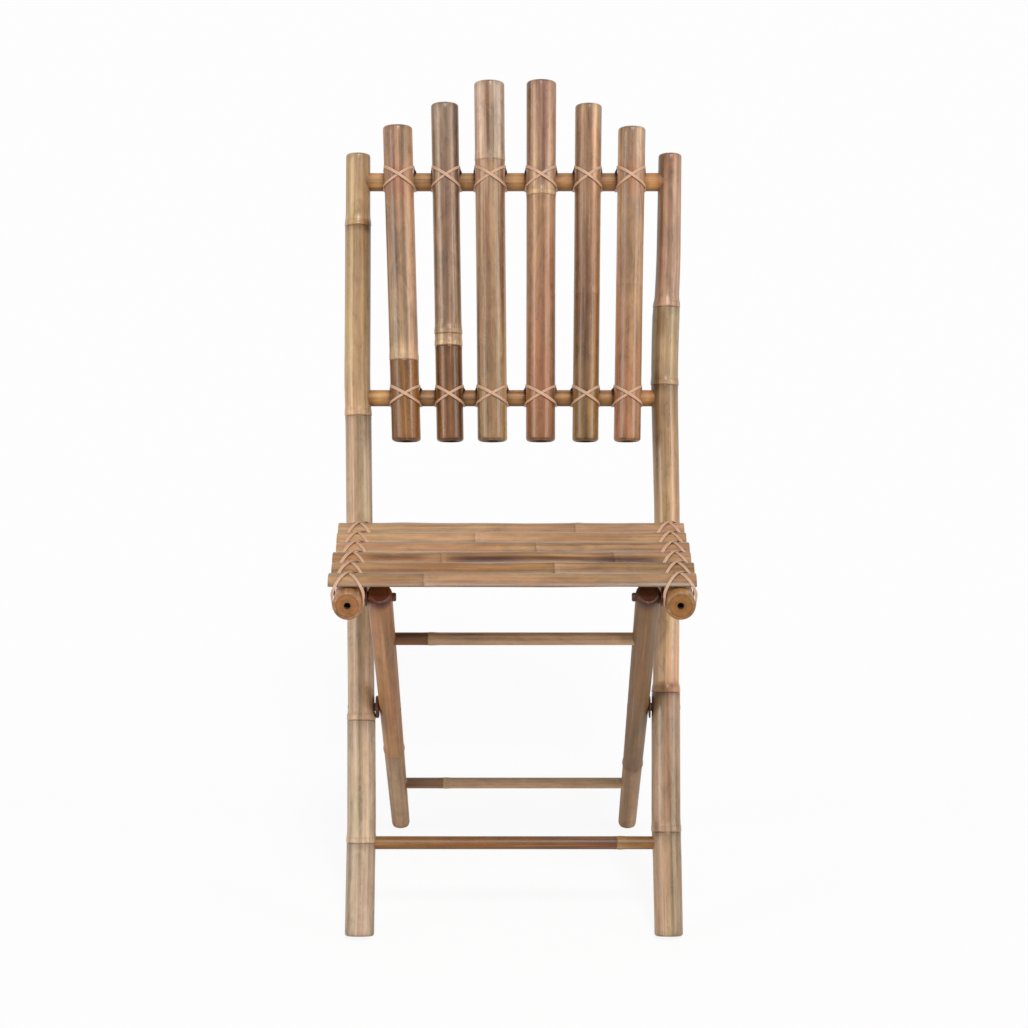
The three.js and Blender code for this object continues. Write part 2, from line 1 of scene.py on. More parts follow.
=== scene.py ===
import math
from collections import namedtuple
import bpy
import numpy as np
from bpy.props import FloatProperty, FloatVectorProperty, PointerProperty
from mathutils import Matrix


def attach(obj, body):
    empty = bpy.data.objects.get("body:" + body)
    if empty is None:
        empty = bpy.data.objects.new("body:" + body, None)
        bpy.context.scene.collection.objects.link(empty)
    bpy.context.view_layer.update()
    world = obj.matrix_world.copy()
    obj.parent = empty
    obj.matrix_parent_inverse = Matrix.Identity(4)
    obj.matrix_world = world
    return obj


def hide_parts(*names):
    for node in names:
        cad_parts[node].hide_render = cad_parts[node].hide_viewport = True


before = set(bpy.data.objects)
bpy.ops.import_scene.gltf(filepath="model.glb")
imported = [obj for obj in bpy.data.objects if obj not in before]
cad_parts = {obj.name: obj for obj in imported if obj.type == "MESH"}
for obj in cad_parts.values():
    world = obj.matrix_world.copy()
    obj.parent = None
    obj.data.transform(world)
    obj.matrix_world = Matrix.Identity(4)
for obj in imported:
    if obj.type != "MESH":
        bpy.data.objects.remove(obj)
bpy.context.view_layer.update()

bl_info = {
    "name": "Bamboo Folding Chair",
    "version": (1, 0, 0),
    "blender": (4, 5, 0),
    "location": "3D View > Sidebar > Bamboo Chair",
    "description": "Grows culms, split slats and cane lacing over the solids of a folding bamboo chair",
    "category": "Object",
}

TURN = 2 * math.pi
POST_LEAN = math.radians(20)
LEG_SLOPE = math.radians(43.3)
SEAT_TILT = math.radians(1)
# On an upright culm the front is at minus a quarter turn, left at half a turn and right at nought
FRONT = -math.pi / 2
SIDE_NAMES = ("left", "right")
SLAT_NUMBERS = range(1, 7)
BACK_RAILS = ("low_back_rail", "top_back_rail")
CAMERA_PLACE = (0.001165, -2.87456, 1.2319)
CAMERA_PITCH = math.radians(15)
FLOOR_REACH = 30.0
WHITE = (1.0, 1.0, 1.0, 1.0)

# Of the solids, in metres: width and rise of a node's lip, fall of an eased end. Then the slant of the
# seat rails' ends and the length it grows over, and the length of a foot that follows the floor
LIP_SPAN = 0.0034
LIP_RISE = 0.0007
EASED_RISE = 0.0015
BEVEL_SHARE = 0.58
BEVEL_RAMP = 0.03
FOOT_SPAN = 0.02

# Fewest corners of a ring, how far apart they may lie along it, how far a lip's width or a round ring
# may be off, and what counts as no distance
RING_CORNERS = 8
RING_GAP = 3e-5
LIP_GAP = 1e-4
ROUND_GAP = 2e-4
SAME_PLACE = 1e-7

# Windows that the radii, the middles and the crossings are averaged over
RADIUS_WINDOW = 0.004
ACROSS_WINDOW = 0.02
CROSSING_WINDOW = 0.002

# Steps along the skin of a culm and of a peg, the closer ones at a node and at its rim, and the angles
# round an eased edge
SKIN_STEP = 0.005
PEG_STEP = 0.004
NODE_REACH = np.arange(-0.010, 0.0101, 0.0005)
RIM_REACH = np.arange(-0.0045, 0.0012, 0.0003)
EDGE_DEGREES = (90, 72, 54, 36, 18)
# Small steps at a sawn edge: in from the rim, and out from the mouth of a bore
RIM_STEP = 0.0002
MOUTH_STEP = 0.0004

# How far the crease lies below a node, what is left of each colour in it, and where from the node the
# pale scar begins and fades
CREASE_DROP = 0.0024
CREASE_SHARES = np.array((0.5, 0.38, 0.3))
SCAR_RISE = (-0.0030, -0.0018)
SCAR_FADE = (0.002, 0.014)
# How much of its tone a culm has lost at its ends, and over what length
END_WEAR = 0.25
WEAR_REACH = 0.003
# The grain of each piece starts at a place of its own, this times one more than the piece's seed
GRAIN_SHIFT = np.array((1.3, 2.1, 3.7))

# Seat slats: eased edge, rings, points of an arc, strength of a node, where they lie on the rails, and
# what is left of each colour on the inside
SLAT_EASE = 0.0012
SLAT_RINGS = 76
SLAT_ARC = 26
SLAT_NODE_STRENGTH = 0.7
SLAT_ON_RAIL = (0.115, 0.148)
SLAT_INSIDE = np.array((0.9, 0.82, 0.72))

Kind = namedtuple("Kind", "slot sides gloss contrast scar cut bores")
PLAIN_CUT = (0.86, 0.78, 0.7)
SLAT_BORE = (0.0066, 0.026)
# Each kind of culm: slot, sides, roughness and contrast of the skin, strength of the pale scars,
# share of each colour where it is sawn, and radius and depth of the bores at its foot and its head
KINDS = {
    "post": Kind("post", 64, 0.30, 0.8, 0.3, PLAIN_CUT, (None, (0.006, 0.034))),
    "slat": Kind("back_slat", 64, 0.28, 1.0, 0.42, PLAIN_CUT, (SLAT_BORE, SLAT_BORE)),
    "rail": Kind("stretcher", 40, 0.45, 0.8, 0.3, PLAIN_CUT, (None, None)),
    "leg": Kind("leg", 56, 0.50, 0.75, 0.06, (1.3, 1.2, 1.25), (None, None)),
    "stretcher": Kind("stretcher", 36, 0.42, 0.8, 0.15, PLAIN_CUT, (None, None)),
    "seat": Kind("seat", 64, 0.38, 0.85, 0.3, (1.1, 0.99, 0.92), ((0.0034, 0.039), None)),
    "peg": Kind("peg", 32, 0.55, 0.6, 0.0, PLAIN_CUT, (None, None)),
}
SPACER_SIDES = 48

# Lacing: sides of the strip, step along it and rows that it is averaged over, rows of its tapered ends,
# points of each run, and the part of a run behind the rail over which it moves on
LACING_SIDES = 16
LACING_STEP = 0.0011
LACING_WINDOW = 2
TAPER_ROWS = 4
RUN_POINTS = 33
MOVE_SPAN = (0.1, 0.66)

# Tones of each culm from its foot up, as bytes: per internode the tone at its foot and at its head
POST_TONES = {
    "left": (((174, 151, 129), (176, 153, 130)), ((187, 163, 138), (186, 162, 136)),
             ((197, 169, 138), (160, 138, 112)), ((184, 154, 119), (160, 133, 99)),
             ((178, 149, 112), (176, 145, 112))),
    "right": (((163, 138, 111), (161, 136, 109)), ((158, 131, 107), (164, 137, 111)),
              ((209, 171, 134), (143, 120, 90)), ((152, 131, 99), (167, 147, 115)),
              ((170, 140, 114), (172, 140, 114))),
}
SLAT_TONES = (
    (((124, 88, 52), (126, 90, 57)), ((155, 129, 104), (166, 131, 102))),
    (((118, 81, 45), (120, 86, 50)), ((202, 170, 132), (202, 168, 130)), ((146, 120, 95), (150, 125, 106))),
    (((154, 124, 90), (160, 130, 104)), ((165, 141, 119), (167, 143, 122))),
    (((139, 97, 70), (157, 122, 96)), ((159, 127, 104), (147, 115, 96))),
    (((130, 100, 66), (128, 96, 68)), ((129, 98, 70), (160, 130, 104))),
    (((160, 116, 84), (158, 122, 92)), ((159, 123, 94), (164, 136, 112))),
)
SEAT_TONES = (
    (((172, 138, 104), (168, 134, 98)), ((176, 142, 108), (166, 130, 96))),
    (((152, 116, 79), (154, 118, 79)), ((166, 133, 98), (150, 114, 78))),
    (((160, 122, 84), (172, 138, 102)), ((164, 128, 90), (162, 124, 88)),
     ((172, 138, 104), (166, 128, 94))),
    (((182, 142, 106), (184, 146, 108)), ((178, 138, 102), (176, 136, 100))),
    (((178, 143, 106), (180, 145, 110)), ((182, 146, 110), (168, 132, 96))),
    (((168, 135, 104), (164, 130, 100)), ((156, 123, 93), (168, 133, 103))),
)
LEG_TONES = {
    "left": (((182, 151, 119), (167, 134, 104)), ((172, 128, 90), (165, 119, 80))),
    "right": (((170, 136, 104), (158, 126, 95)), ((132, 104, 77), (126, 96, 68))),
}
SEAT_RAIL_TONES = {
    "left": (((168, 124, 88), (158, 124, 92)), ((164, 130, 98), (160, 126, 94))),
    "right": (((162, 122, 82), (156, 122, 90)), ((166, 132, 100), (158, 124, 92))),
}
# Share of each colour left at the top of each rear leg, where the seat's shadow is painted
LEG_TOP_SHADOWS = {"left": (0.58, 0.36, 0.17), "right": (0.76, 0.56, 0.26)}
RAIL_TONE = (212, 164, 108)
STRETCHER_TONES = {
    "front_stretcher": (((130, 95, 61), (106, 73, 44)), ((138, 104, 70), (124, 90, 58))),
    "upper_leg_stretcher": (((112, 76, 52), (118, 84, 58)), ((174, 139, 109), (182, 147, 116))),
    "lower_leg_stretcher": (((118, 88, 68), (134, 104, 82)), ((168, 138, 110), (176, 146, 118))),
}
PEG_TONE = (92, 62, 42)
SPACER_TONE = (96, 62, 38)
CANE_TONE = (208, 168, 140)
GLOSS_VEIL = 0.03
SLAT_NODE_STRENGTHS = ((0.6,), (1.0, 1.0), (0.5,), (0.7,), (0.15,), (0.12,))

# Spread and half length of a mark that goes all round or all along, and on the back rails how far a
# slat's painted shadow goes past it and how far the painted shade at the ends reaches
ALL_ROUND = 90.0
ALL_ALONG = 9.0
RAIL_SHADOW = 0.0058
RAIL_END_SHADE = 0.0135
# Marks on the seat slats: place across, half length, share of each colour, angle and its spread. A few
# are stains; the darkest, along the third slat, are a painted shadow in the gap behind it, the dark ones
# on a slat's front face painted shade, and those above one painted highlights
SEAT_STAINS_AND_SHADING = (
    ((-0.082, 0.003, (0.45, 0.36, 0.3), 1.35, 0.12), (0.06, 0.04, (0.9, 0.84, 0.76), 2.2, 0.4),
     (-0.13, 0.03, (0.84, 0.74, 0.64), 2.3, 0.6)),
    ((0.1, 0.02, (0.8, 0.74, 0.64), 1.5, 0.6), (-0.09, 0.05, (0.84, 0.74, 0.64), 2.1, 0.3),
     (0.03, 0.025, (1.12, 1.12, 1.1), 1.7, 0.4), (0.02, 0.16, (0.72, 0.62, 0.54), 2.7, 0.22)),
    ((-0.026, 0.044, (0.2, 0.08, 0.02), 2.22, 0.32), (0.118, 0.042, (0.19, 0.07, 0.02), 2.4, 0.42),
     (0.048, 0.034, (0.3, 0.17, 0.08), 2.2, 0.18), (-0.124, 0.036, (0.4, 0.29, 0.18), 2.06, 0.24),
     (-0.06, 0.06, (0.9, 0.82, 0.74), 2.4, 0.3)),
    ((0.0, 0.3, (0.86, 0.89, 0.93), 1.9, 0.9), (-0.06, 0.02, (1.12, 1.12, 1.1), 1.7, 0.4),
     (0.0, 0.05, (0.86, 0.74, 0.68), 1.6, 0.4)),
    ((0.08, 0.05, (0.86, 0.78, 0.68), 2.3, 0.3), (-0.05, 0.06, (1.06, 1.06, 1.04), 1.6, 0.4)),
    ((-0.12, 0.04, (0.9, 0.82, 0.75), 1.2, 0.5), (0.02, 0.035, (1.06, 1.0, 0.92), 1.5, 0.6)),
)
# How much each seat slat is darkened towards its front and rear edges: painted shade in the gaps between
# slats
SEAT_GAP_SHADE = (0.46, 0.4, 0.3, 0.34, 0.2, 0.3)
# Marks on the upright culms: place along, half length, share of each colour, angle from the front to
# the right and its spread. The long ones above one are painted highlights, the reflections of the side
# lamps, and the broad dark ones painted shade; the short ones are stains and node marks
POST_STAINS_AND_SHADING = {
    "left": ((0.62, 0.16, (1.1, 1.08, 1.0), -0.35, 0.22), (0.6, 0.2, (0.84, 0.8, 0.72), 0.2, 0.3),
             (0.29, 0.15, (0.78, 0.71, 0.64), 0.4, 0.3), (0.29, 0.15, (1.14, 1.12, 1.08), -0.5, 0.2),
             (0.08, 0.12, (1.08, 1.06, 1.02), -0.3, 0.25), (0.09, 0.1, (0.84, 0.78, 0.72), 0.55, 0.25),
             (0.766, 0.007, (0.4, 0.32, 0.24), 0.9, 0.35), (0.768, 0.006, (0.8, 0.7, 0.6), 0.0, 1.3)),
    "right": ((0.79, 0.08, (0.58, 0.48, 0.4), -0.03, 0.12), (0.79, 0.1, (0.72, 0.64, 0.56), -0.85, 0.2),
              (0.78, 0.09, (1.2, 1.2, 1.2), -0.42, 0.13), (0.76, 0.05, (0.66, 0.56, 0.48), 0.5, 0.08),
              (0.85, 0.03, (0.88, 0.74, 0.66), 0.0, 0.9), (0.655, 0.018, (0.6, 0.52, 0.42), -0.35, 0.45),
              (0.63, 0.035, (1.25, 1.24, 1.18), 0.4, 0.2), (0.588, 0.01, (0.6, 0.52, 0.42), -0.6, 0.5),
              (0.44, 0.12, (0.82, 0.74, 0.66), -0.25, 0.28), (0.4, 0.15, (1.12, 1.12, 1.1), 0.45, 0.2),
              (0.243, 0.0075, (0.6, 0.48, 0.38), 0.1, 1.3), (0.088, 0.009, (0.46, 0.36, 0.3), -0.75, 0.28),
              (0.07, 0.09, (0.64, 0.54, 0.44), 0.25, 0.08), (0.16, 0.05, (0.84, 0.76, 0.68), 0.1, 0.2)),
}
# Marks on the back slats, as on the posts: the long ones above one, beside the middle, are painted
# highlights, the reflections of the side lamps, and the dark cores between them painted shade; the short ones
# are node lines and stains
SLAT_STAINS_AND_SHADING = (
    ((0.8, 0.11, (0.78, 0.7, 0.64), -0.5, 0.32), (0.74, 0.13, (0.68, 0.64, 0.56), 0.12, 0.26),
     (0.74, 0.14, (1.26, 1.28, 1.3), 0.62, 0.22), (0.72, 0.1, (1.1, 1.1, 1.1), -0.62, 0.25),
     (0.621, 0.01, (1.28, 1.26, 1.26), 0.0, 1.4), (0.812, 0.02, (0.92, 0.7, 0.6), -0.2, 0.9)),
    ((0.77, 0.14, (0.52, 0.44, 0.38), 0.04, 0.3), (0.8, 0.17, (1.45, 1.5, 1.55), -0.62, 0.2),
     (0.78, 0.16, (1.36, 1.38, 1.42), 0.55, 0.16), (0.8, 0.14, (0.6, 0.54, 0.48), 0.92, 0.22),
     (0.8, 0.16, (0.7, 0.62, 0.55), -1.0, 0.18)),
    ((0.885, 0.05, (0.42, 0.29, 0.2), -0.1, 0.3), (0.885, 0.055, (1.8, 2.0, 2.25), 0.6, 0.24),
     (0.885, 0.05, (1.85, 2.0, 2.1), -0.7, 0.24), (0.825, 0.009, (1.12, 1.06, 1.0), 0.0, 1.4),
     (0.68, 0.13, (0.7, 0.64, 0.56), -0.15, 0.25), (0.68, 0.14, (1.12, 1.12, 1.12), 0.42, 0.14),
     (0.74, 0.1, (0.68, 0.6, 0.53), 0.88, 0.22), (0.722, 0.032, (0.48, 0.38, 0.3), 0.68, 0.07)),
    ((0.7, 0.15, (1.22, 1.22, 1.22), -0.4, 0.22), (0.67, 0.16, (0.74, 0.66, 0.58), 0.15, 0.25),
     (0.87, 0.07, (1.42, 1.45, 1.45), -0.46, 0.2), (0.87, 0.07, (0.44, 0.31, 0.25), 0.08, 0.24),
     (0.87, 0.07, (1.7, 1.9, 1.85), 0.62, 0.22), (0.87, 0.07, (0.78, 0.66, 0.62), -0.95, 0.2),
     (0.691, 0.003, (0.4, 0.32, 0.28), 0.85, 0.12), (0.798, 0.004, (1.16, 1.14, 1.1), 0.0, 1.5)),
    ((0.67, 0.1, (0.44, 0.34, 0.26), -0.06, 0.24), (0.7, 0.2, (1.36, 1.35, 1.33), 0.48, 0.22),
     (0.74, 0.12, (0.8, 0.74, 0.68), -0.65, 0.3), (0.87, 0.06, (0.78, 0.7, 0.64), -0.6, 0.3),
     (0.87, 0.06, (1.4, 1.44, 1.48), 0.5, 0.25), (0.86, 0.07, (0.72, 0.6, 0.5), 0.0, 0.25)),
    ((0.665, 0.045, (1.16, 1.24, 1.16), 0.12, 0.24), (0.745, 0.05, (0.74, 0.66, 0.58), -0.1, 0.38),
     (0.6, 0.05, (0.84, 0.7, 0.6), 0.62, 0.2), (0.87, 0.05, (0.82, 0.74, 0.68), -0.5, 0.35),
     (0.815, 0.02, (0.96, 0.72, 0.6), 0.0, 1.0), (0.72, 0.12, (1.14, 1.14, 1.1), 0.8, 0.2),
     (0.87, 0.05, (1.6, 1.75, 1.9), 0.58, 0.24), (0.87, 0.05, (0.7, 0.6, 0.5), 0.05, 0.25)),
)


def turned_axes(turn):
    """Unit rows of a frame turned about X: across, ahead to behind, and up."""
    c = math.cos(turn)
    s = math.sin(turn)
    return np.array(((1.0, 0.0, 0.0), (0.0, c, s), (0.0, -s, c)))


BACK_AXES = turned_axes(-POST_LEAN)
LEG_AXES = turned_axes(math.pi / 2 - LEG_SLOPE)
SEAT_AXES = turned_axes(-SEAT_TILT)
# The same frames as side, depth and along of a culm that lies along X, or from front to rear
BACK_CROSS = np.roll(BACK_AXES, -1, axis=0)
LEG_CROSS = np.roll(LEG_AXES, -1, axis=0)
SEAT_CROSS = np.roll(SEAT_AXES, -1, axis=0)
SEAT_LENGTH = np.roll(SEAT_AXES, 1, axis=0)


def linear(tone):
    """Linear colour of bytes: a twelfth of the slope below four hundredths, else a power of 2.4."""
    share = np.asarray(tone, float) / 255
    return np.where(share <= 0.04045, share / 12.92, ((share + 0.055) / 1.055) ** 2.4)


def bare(tone):
    """Linear colour of bytes seen under a white sky, less what the gloss adds to it."""
    return np.maximum(linear(tone) * 1.02 - GLOSS_VEIL, 0.01)


def bell(distance, width):
    """One at distance nought, falling as e to the minus square of distance over width."""
    return np.exp(-(distance / width) ** 2)


def smooth_step(low, high, value):
    """Nought below low, one above high, and three squares less two cubes between."""
    share = np.clip((value - low) / (high - low), 0, 1)
    return share * share * (3 - 2 * share)


class Wire:
    """A node's output. Arithmetic on it adds the Math nodes that work it out."""

    def __init__(self, bench, socket):
        self.bench = bench
        self.socket = socket

    def math(self, operation, *terms):
        return self.bench.node("ShaderNodeMath", dict(enumerate(terms)), operation=operation)

    def __add__(self, other):
        return self.math("ADD", self, other)

    def __radd__(self, other):
        return self.math("ADD", other, self)

    def __sub__(self, other):
        return self.math("SUBTRACT", self, other)

    def __rsub__(self, other):
        return self.math("SUBTRACT", other, self)

    def __mul__(self, other):
        return self.math("MULTIPLY", self, other)

    def __rmul__(self, other):
        return self.math("MULTIPLY", other, self)

    def step(self, low, high):
        """Nought below low and one above high, smooth between."""
        limits = {"Value": self, "From Min": low, "From Max": high}
        return self.bench.node("ShaderNodeMapRange", limits, interpolation_type="SMOOTHSTEP")


class Bench:
    """The node tree of one material or world, with one method that makes any node."""

    def __init__(self, holder):
        holder.use_nodes = True
        self.holder = holder
        self.tree = holder.node_tree
        self.tree.nodes.clear()

    def node(self, kind, sockets=None, output=0, **settings):
        made = self.tree.nodes.new(kind)
        for name, value in settings.items():
            setattr(made, name, value)
        for key, value in (sockets or {}).items():
            if isinstance(value, Wire):
                self.tree.links.new(value.socket, made.inputs[key])
            else:
                made.inputs[key].default_value = value
        return Wire(self, made.outputs[output]) if made.outputs else made

    def stretched(self, vector, scales):
        return self.node("ShaderNodeVectorMath", {0: vector, 1: scales}, operation="MULTIPLY")

    def scaled(self, colour, amount):
        return self.node("ShaderNodeVectorMath", {0: colour, "Scale": amount}, operation="SCALE")

    def mixed(self, amount, first, second):
        return self.node("ShaderNodeMix", {0: amount, 6: first, 7: second}, 2, data_type="RGBA")

    def noise(self, vector, scales, detail=2.0, roughness=0.5, distortion=0.0):
        sockets = {"Vector": self.stretched(vector, scales), "Scale": 1.0, "Detail": detail,
                   "Roughness": roughness, "Distortion": distortion}
        return self.node("ShaderNodeTexNoise", sockets, noise_dimensions="3D")

    def finish(self, colour, roughness, height, relief, strength, ior):
        bumps = {"Height": height, "Distance": relief, "Strength": strength}
        normal = self.node("ShaderNodeBump", bumps)
        sockets = {"Base Color": colour, "Roughness": roughness, "Normal": normal, "IOR": ior}
        shader = self.node("ShaderNodeBsdfPrincipled", sockets)
        self.node("ShaderNodeOutputMaterial", {"Surface": shader})
        return self.holder


def begin_look(name):
    """A new material's bench, with the grain's places and the tone of the mesh."""
    bench = Bench(bpy.data.materials.new(name))
    along = bench.node("ShaderNodeAttribute", output=1, attribute_name="culm")
    tone = bench.node("ShaderNodeAttribute", output=0, attribute_name="tone")
    return bench, along, tone


def culm_skin(name, settings, gloss, contrast):
    """Waxy skin of a culm: long streaks, fine fibres, stains and specks over the tone of the mesh."""
    bench, along, tone = begin_look(name)
    band = bench.noise(along, (75.0, 75.0, 2.0), 2.0)
    streak = bench.noise(along, (230.0, 230.0, 3.8), 3.0, 0.6)
    fibre = bench.noise(along, (1200.0, 1200.0, 30.0), 2.0, 0.6)
    blotch = bench.noise(along, (85.0, 85.0, 30.0), 5.0, 0.66, 0.8)
    stain_and_shade = bench.noise(along, (120.0, 120.0, 10.0), 3.0, 0.55, 0.4)
    line = bench.noise(along, (520.0, 520.0, 6.0), 3.0, 0.55)
    speck = bench.noise(along, (600.0, 600.0, 230.0), 1.0, 0.5)
    flush = bench.noise(along, (60.0, 60.0, 5.0), 2.0, 0.5, 0.6)
    share = settings.streaks * contrast
    light = 1 + (streak - 0.5) * (1.7 * share) + (band - 0.5) * (1.5 * share) \
        + (fibre - 0.5) * (0.45 * share) + (blotch - 0.5) * (1.35 * share)
    colour = bench.scaled(tone, light)
    dark = bench.stretched(colour, (0.56, 0.44, 0.36))
    rust = bench.stretched(colour, (0.94, 0.74, 0.58))
    pink = bench.stretched(colour, (1.05, 0.95, 0.96))
    olive = bench.stretched(colour, (0.96, 0.99, 0.83))
    colour = bench.mixed(flush.step(0.50, 0.62) * (0.9 * settings.flush), colour, pink)
    colour = bench.mixed((1 - flush).step(0.52, 0.66) * (0.75 * settings.flush), colour, olive)
    pale = bench.mixed(0.5, colour, (*settings.wax_tone, 1.0))
    colour = bench.mixed(streak.step(0.56, 0.74) * 0.45, colour, pale)
    colour = bench.mixed(stain_and_shade.step(0.54, 0.72) * (0.7 * contrast), colour, rust)
    colour = bench.mixed(line.step(0.60, 0.72) * (0.5 * contrast), colour, dark)
    colour = bench.mixed(speck.step(0.70, 0.76) * (0.7 * settings.specks), colour, dark)
    roughness = gloss + (blotch - 0.5) * 0.22 + (stain_and_shade - 0.5) * 0.16
    height = streak * 0.7 + fibre * 0.3 + line.step(0.60, 0.70) * -0.5
    return bench.finish(colour, roughness, height, settings.relief, 0.55, settings.skin_ior)


def sawn_end(name, settings):
    """Sawn end of a culm: fibre bundles as dark dots, clouds, and the marks of the saw."""
    bench, along, tone = begin_look(name)
    dots = bench.noise(along, (1500.0, 1500.0, 30.0), 1.0, 0.5)
    cloud = bench.noise(along, (160.0, 160.0, 60.0), 3.0, 0.6)
    saw = bench.noise(along, (300.0, 2600.0, 300.0), 1.0, 0.5)
    colour = bench.scaled(tone, 0.88 + (cloud - 0.5) * 0.7 + (saw - 0.5) * 0.15)
    dark = bench.stretched(colour, (0.55, 0.45, 0.38))
    colour = bench.mixed(dots.step(0.55, 0.66) * 0.6, colour, dark)
    return bench.finish(colour, 0.72 + (cloud - 0.5) * 0.2, dots * 0.6 + saw * 0.4, settings.relief, 0.5, 1.3)


def cane_strip(name, settings):
    """Split cane: fine lengthwise fibres and worn patches."""
    bench, along, tone = begin_look(name)
    fibre = bench.noise(along, (1500.0, 1500.0, 40.0), 2.0, 0.6)
    patch = bench.noise(along, (90.0, 90.0, 60.0), 3.0, 0.6)
    colour = bench.scaled(tone, 1 + (fibre - 0.5) * 0.5 + (patch - 0.5) * 0.55)
    worn = bench.stretched(colour, (0.74, 0.58, 0.48))
    colour = bench.mixed(patch.step(0.56, 0.70) * 0.5, colour, worn)
    return bench.finish(colour, 0.5 + (patch - 0.5) * 0.3, fibre, settings.relief, 0.5, 1.45)


def look(name, make, *details):
    """The material of that name, made once."""
    found = bpy.data.materials.get(name)
    return found or make(name, bpy.context.scene.chair_finish, *details)


def culm_looks(kind):
    """The looks of a kind of culm: its skin and its sawn ends."""
    skin = look(f"skin_{kind}", culm_skin, KINDS[kind].gloss, KINDS[kind].contrast)
    return skin, look("sawn_end", sawn_end)


def node_points(node, axes):
    """Distinct corners of a solid in a frame's own directions."""
    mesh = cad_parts[node].data
    points = np.empty(len(mesh.vertices) * 3, np.float32)
    mesh.vertices.foreach_get("co", points)
    return np.unique(np.round(points.reshape(-1, 3).astype(float) @ axes.T, 5), axis=0)


def find_lips(places):
    """Which rings are followed by another a lip's width on, as the two of a bamboo node are."""
    return np.flatnonzero(np.abs(np.diff(places) - LIP_SPAN) < LIP_GAP)


def read_rings(node, axes):
    """Rings of a solid culm, grouped by place along it: place, middle across and radius of each.
    A ring has eight corners or more and a radius over six tenths of the largest. Two raised rings a
    lip apart are a bamboo node, and are given as its middle instead. An eased end is left out."""
    points = node_points(node, axes)
    points = points[np.argsort(points[:, 2], kind="stable")]
    starts = np.flatnonzero(np.diff(points[:, 2], prepend=-9.0) > RING_GAP)
    counts = np.diff(np.append(starts, len(points)))
    low = np.minimum.reduceat(points, starts)
    high = np.maximum.reduceat(points, starts)
    span = high - low
    middle = (low + high) / 2
    radius = span[:, :2].max(axis=1) / 2
    ring = (counts >= RING_CORNERS) & (radius > 0.6 * radius.max())
    round_ring = ring & (np.abs(span[:, 0] - span[:, 1]) < ROUND_GAP)
    place = middle[ring, 2]
    radius = radius[ring]
    lips = find_lips(place)
    bases = np.interp(place[lips] - LIP_SPAN, place, radius)
    lips = lips[radius[lips] - np.minimum(bases, np.append(radius, 0)[lips + 2]) > LIP_RISE]
    keep = np.ones(len(place), bool)
    keep[lips] = False
    keep[lips + 1] = False
    if keep.sum() > 2 and radius[1] - radius[0] > EASED_RISE:
        keep[0] = False
    if keep.sum() > 2 and radius[-2] - radius[-1] > EASED_RISE:
        keep[-1] = False
    return {"place": place[keep], "across": middle[ring, 0][keep], "radius": radius[keep],
            "depth": float(np.median(middle[round_ring, 1])), "nodes": (place[lips] + place[lips + 1]) / 2,
            "start": points[0, 2], "stop": points[-1, 2]}


def read_table(places, values, at, reach):
    """A table read at places, straight on past its ends, as the mean of nine places over a window that
    rounds its corners."""
    if len(places) > 1:
        head = values[0] - (values[1] - values[0]) / (places[1] - places[0])
        tail = values[-1] + (values[-1] - values[-2]) / (places[-1] - places[-2])
        places = np.concatenate(([places[0] - 1], places, [places[-1] + 1]))
        values = np.concatenate(([head], values, [tail]))
    window = np.linspace(-reach, reach, 9)
    return np.interp(at[:, None] + window, places, values).mean(axis=1)


def node_relief(distance, settings):
    """Height of a bamboo node at a distance above its middle: a broad swelling, a low rim
    below it and a crease under the rim, each a bell."""
    swelling = 0.72 * bell(distance - 0.0012, 0.0050)
    rim = 0.22 * bell(distance + 0.0010, 0.0009)
    crease = -0.55 * bell(distance + CREASE_DROP, 0.0006)
    return settings.node_height * (swelling + rim + crease)


def skin_places(start, stop, count, nodes, close):
    """Even places from start to stop, and more of them close to each node."""
    near = (nodes[:, None] + close).ravel()
    near = near[(near > start) & (near < stop)]
    return np.unique(np.round(np.concatenate((np.linspace(start, stop, count), near)), 5))


def eased_edge(ease, degrees):
    """Round an eased edge, a quarter of a circle: depth below the end, which is the ease times one less
    the sine, and loss of radius, which is the ease times one less the cosine."""
    bend = np.radians(degrees)
    return ease * (1 - np.sin(bend)), ease * (1 - np.cos(bend))


def end_outline(reach, bore, ease):
    """Outline of a sawn end from its pole to the skin, in rows: depth below the end, radius, and share
    of tone where it is sawn. A hollow end has the floor and the wall of its bore and then the wood, a
    solid one its flat. The eased edge comes last and counts as skin."""
    flat = reach - ease
    rim = flat - RIM_STEP
    if bore:
        hole, deep = bore
        mouth = hole + MOUTH_STEP
        down = (deep, deep, deep, deep - 0.2 * hole, 0.7 * deep, 0.3 * deep, 0.0005, 0.0001) + (0.0,) * 5
        wall = (0.5 * hole, 0.85 * hole, 0.97 * hole, hole, hole, hole, hole, hole + 0.0001, mouth)
        wide = np.concatenate((wall, mouth + (rim - mouth) * np.array((0.3, 0.55, 0.8, 1.0))))
        # The floor and wall of the bore keep about a third of the tone, rising towards its mouth: painted
        # shade in the hole
        share = (0.35,) * 6 + (0.5, 0.7, 0.8, 0.95, 1.1, 1.14, 0.72)
    else:
        down = (0.0, 0.0, 0.0)
        wide = (0.4 * flat, 0.75 * flat, rim)
        share = (1.0, 1.0, 0.9)
    edge, loss = eased_edge(ease, EDGE_DEGREES)
    return np.hstack(((down, wide, share), (edge, reach - loss, 0 * edge)))


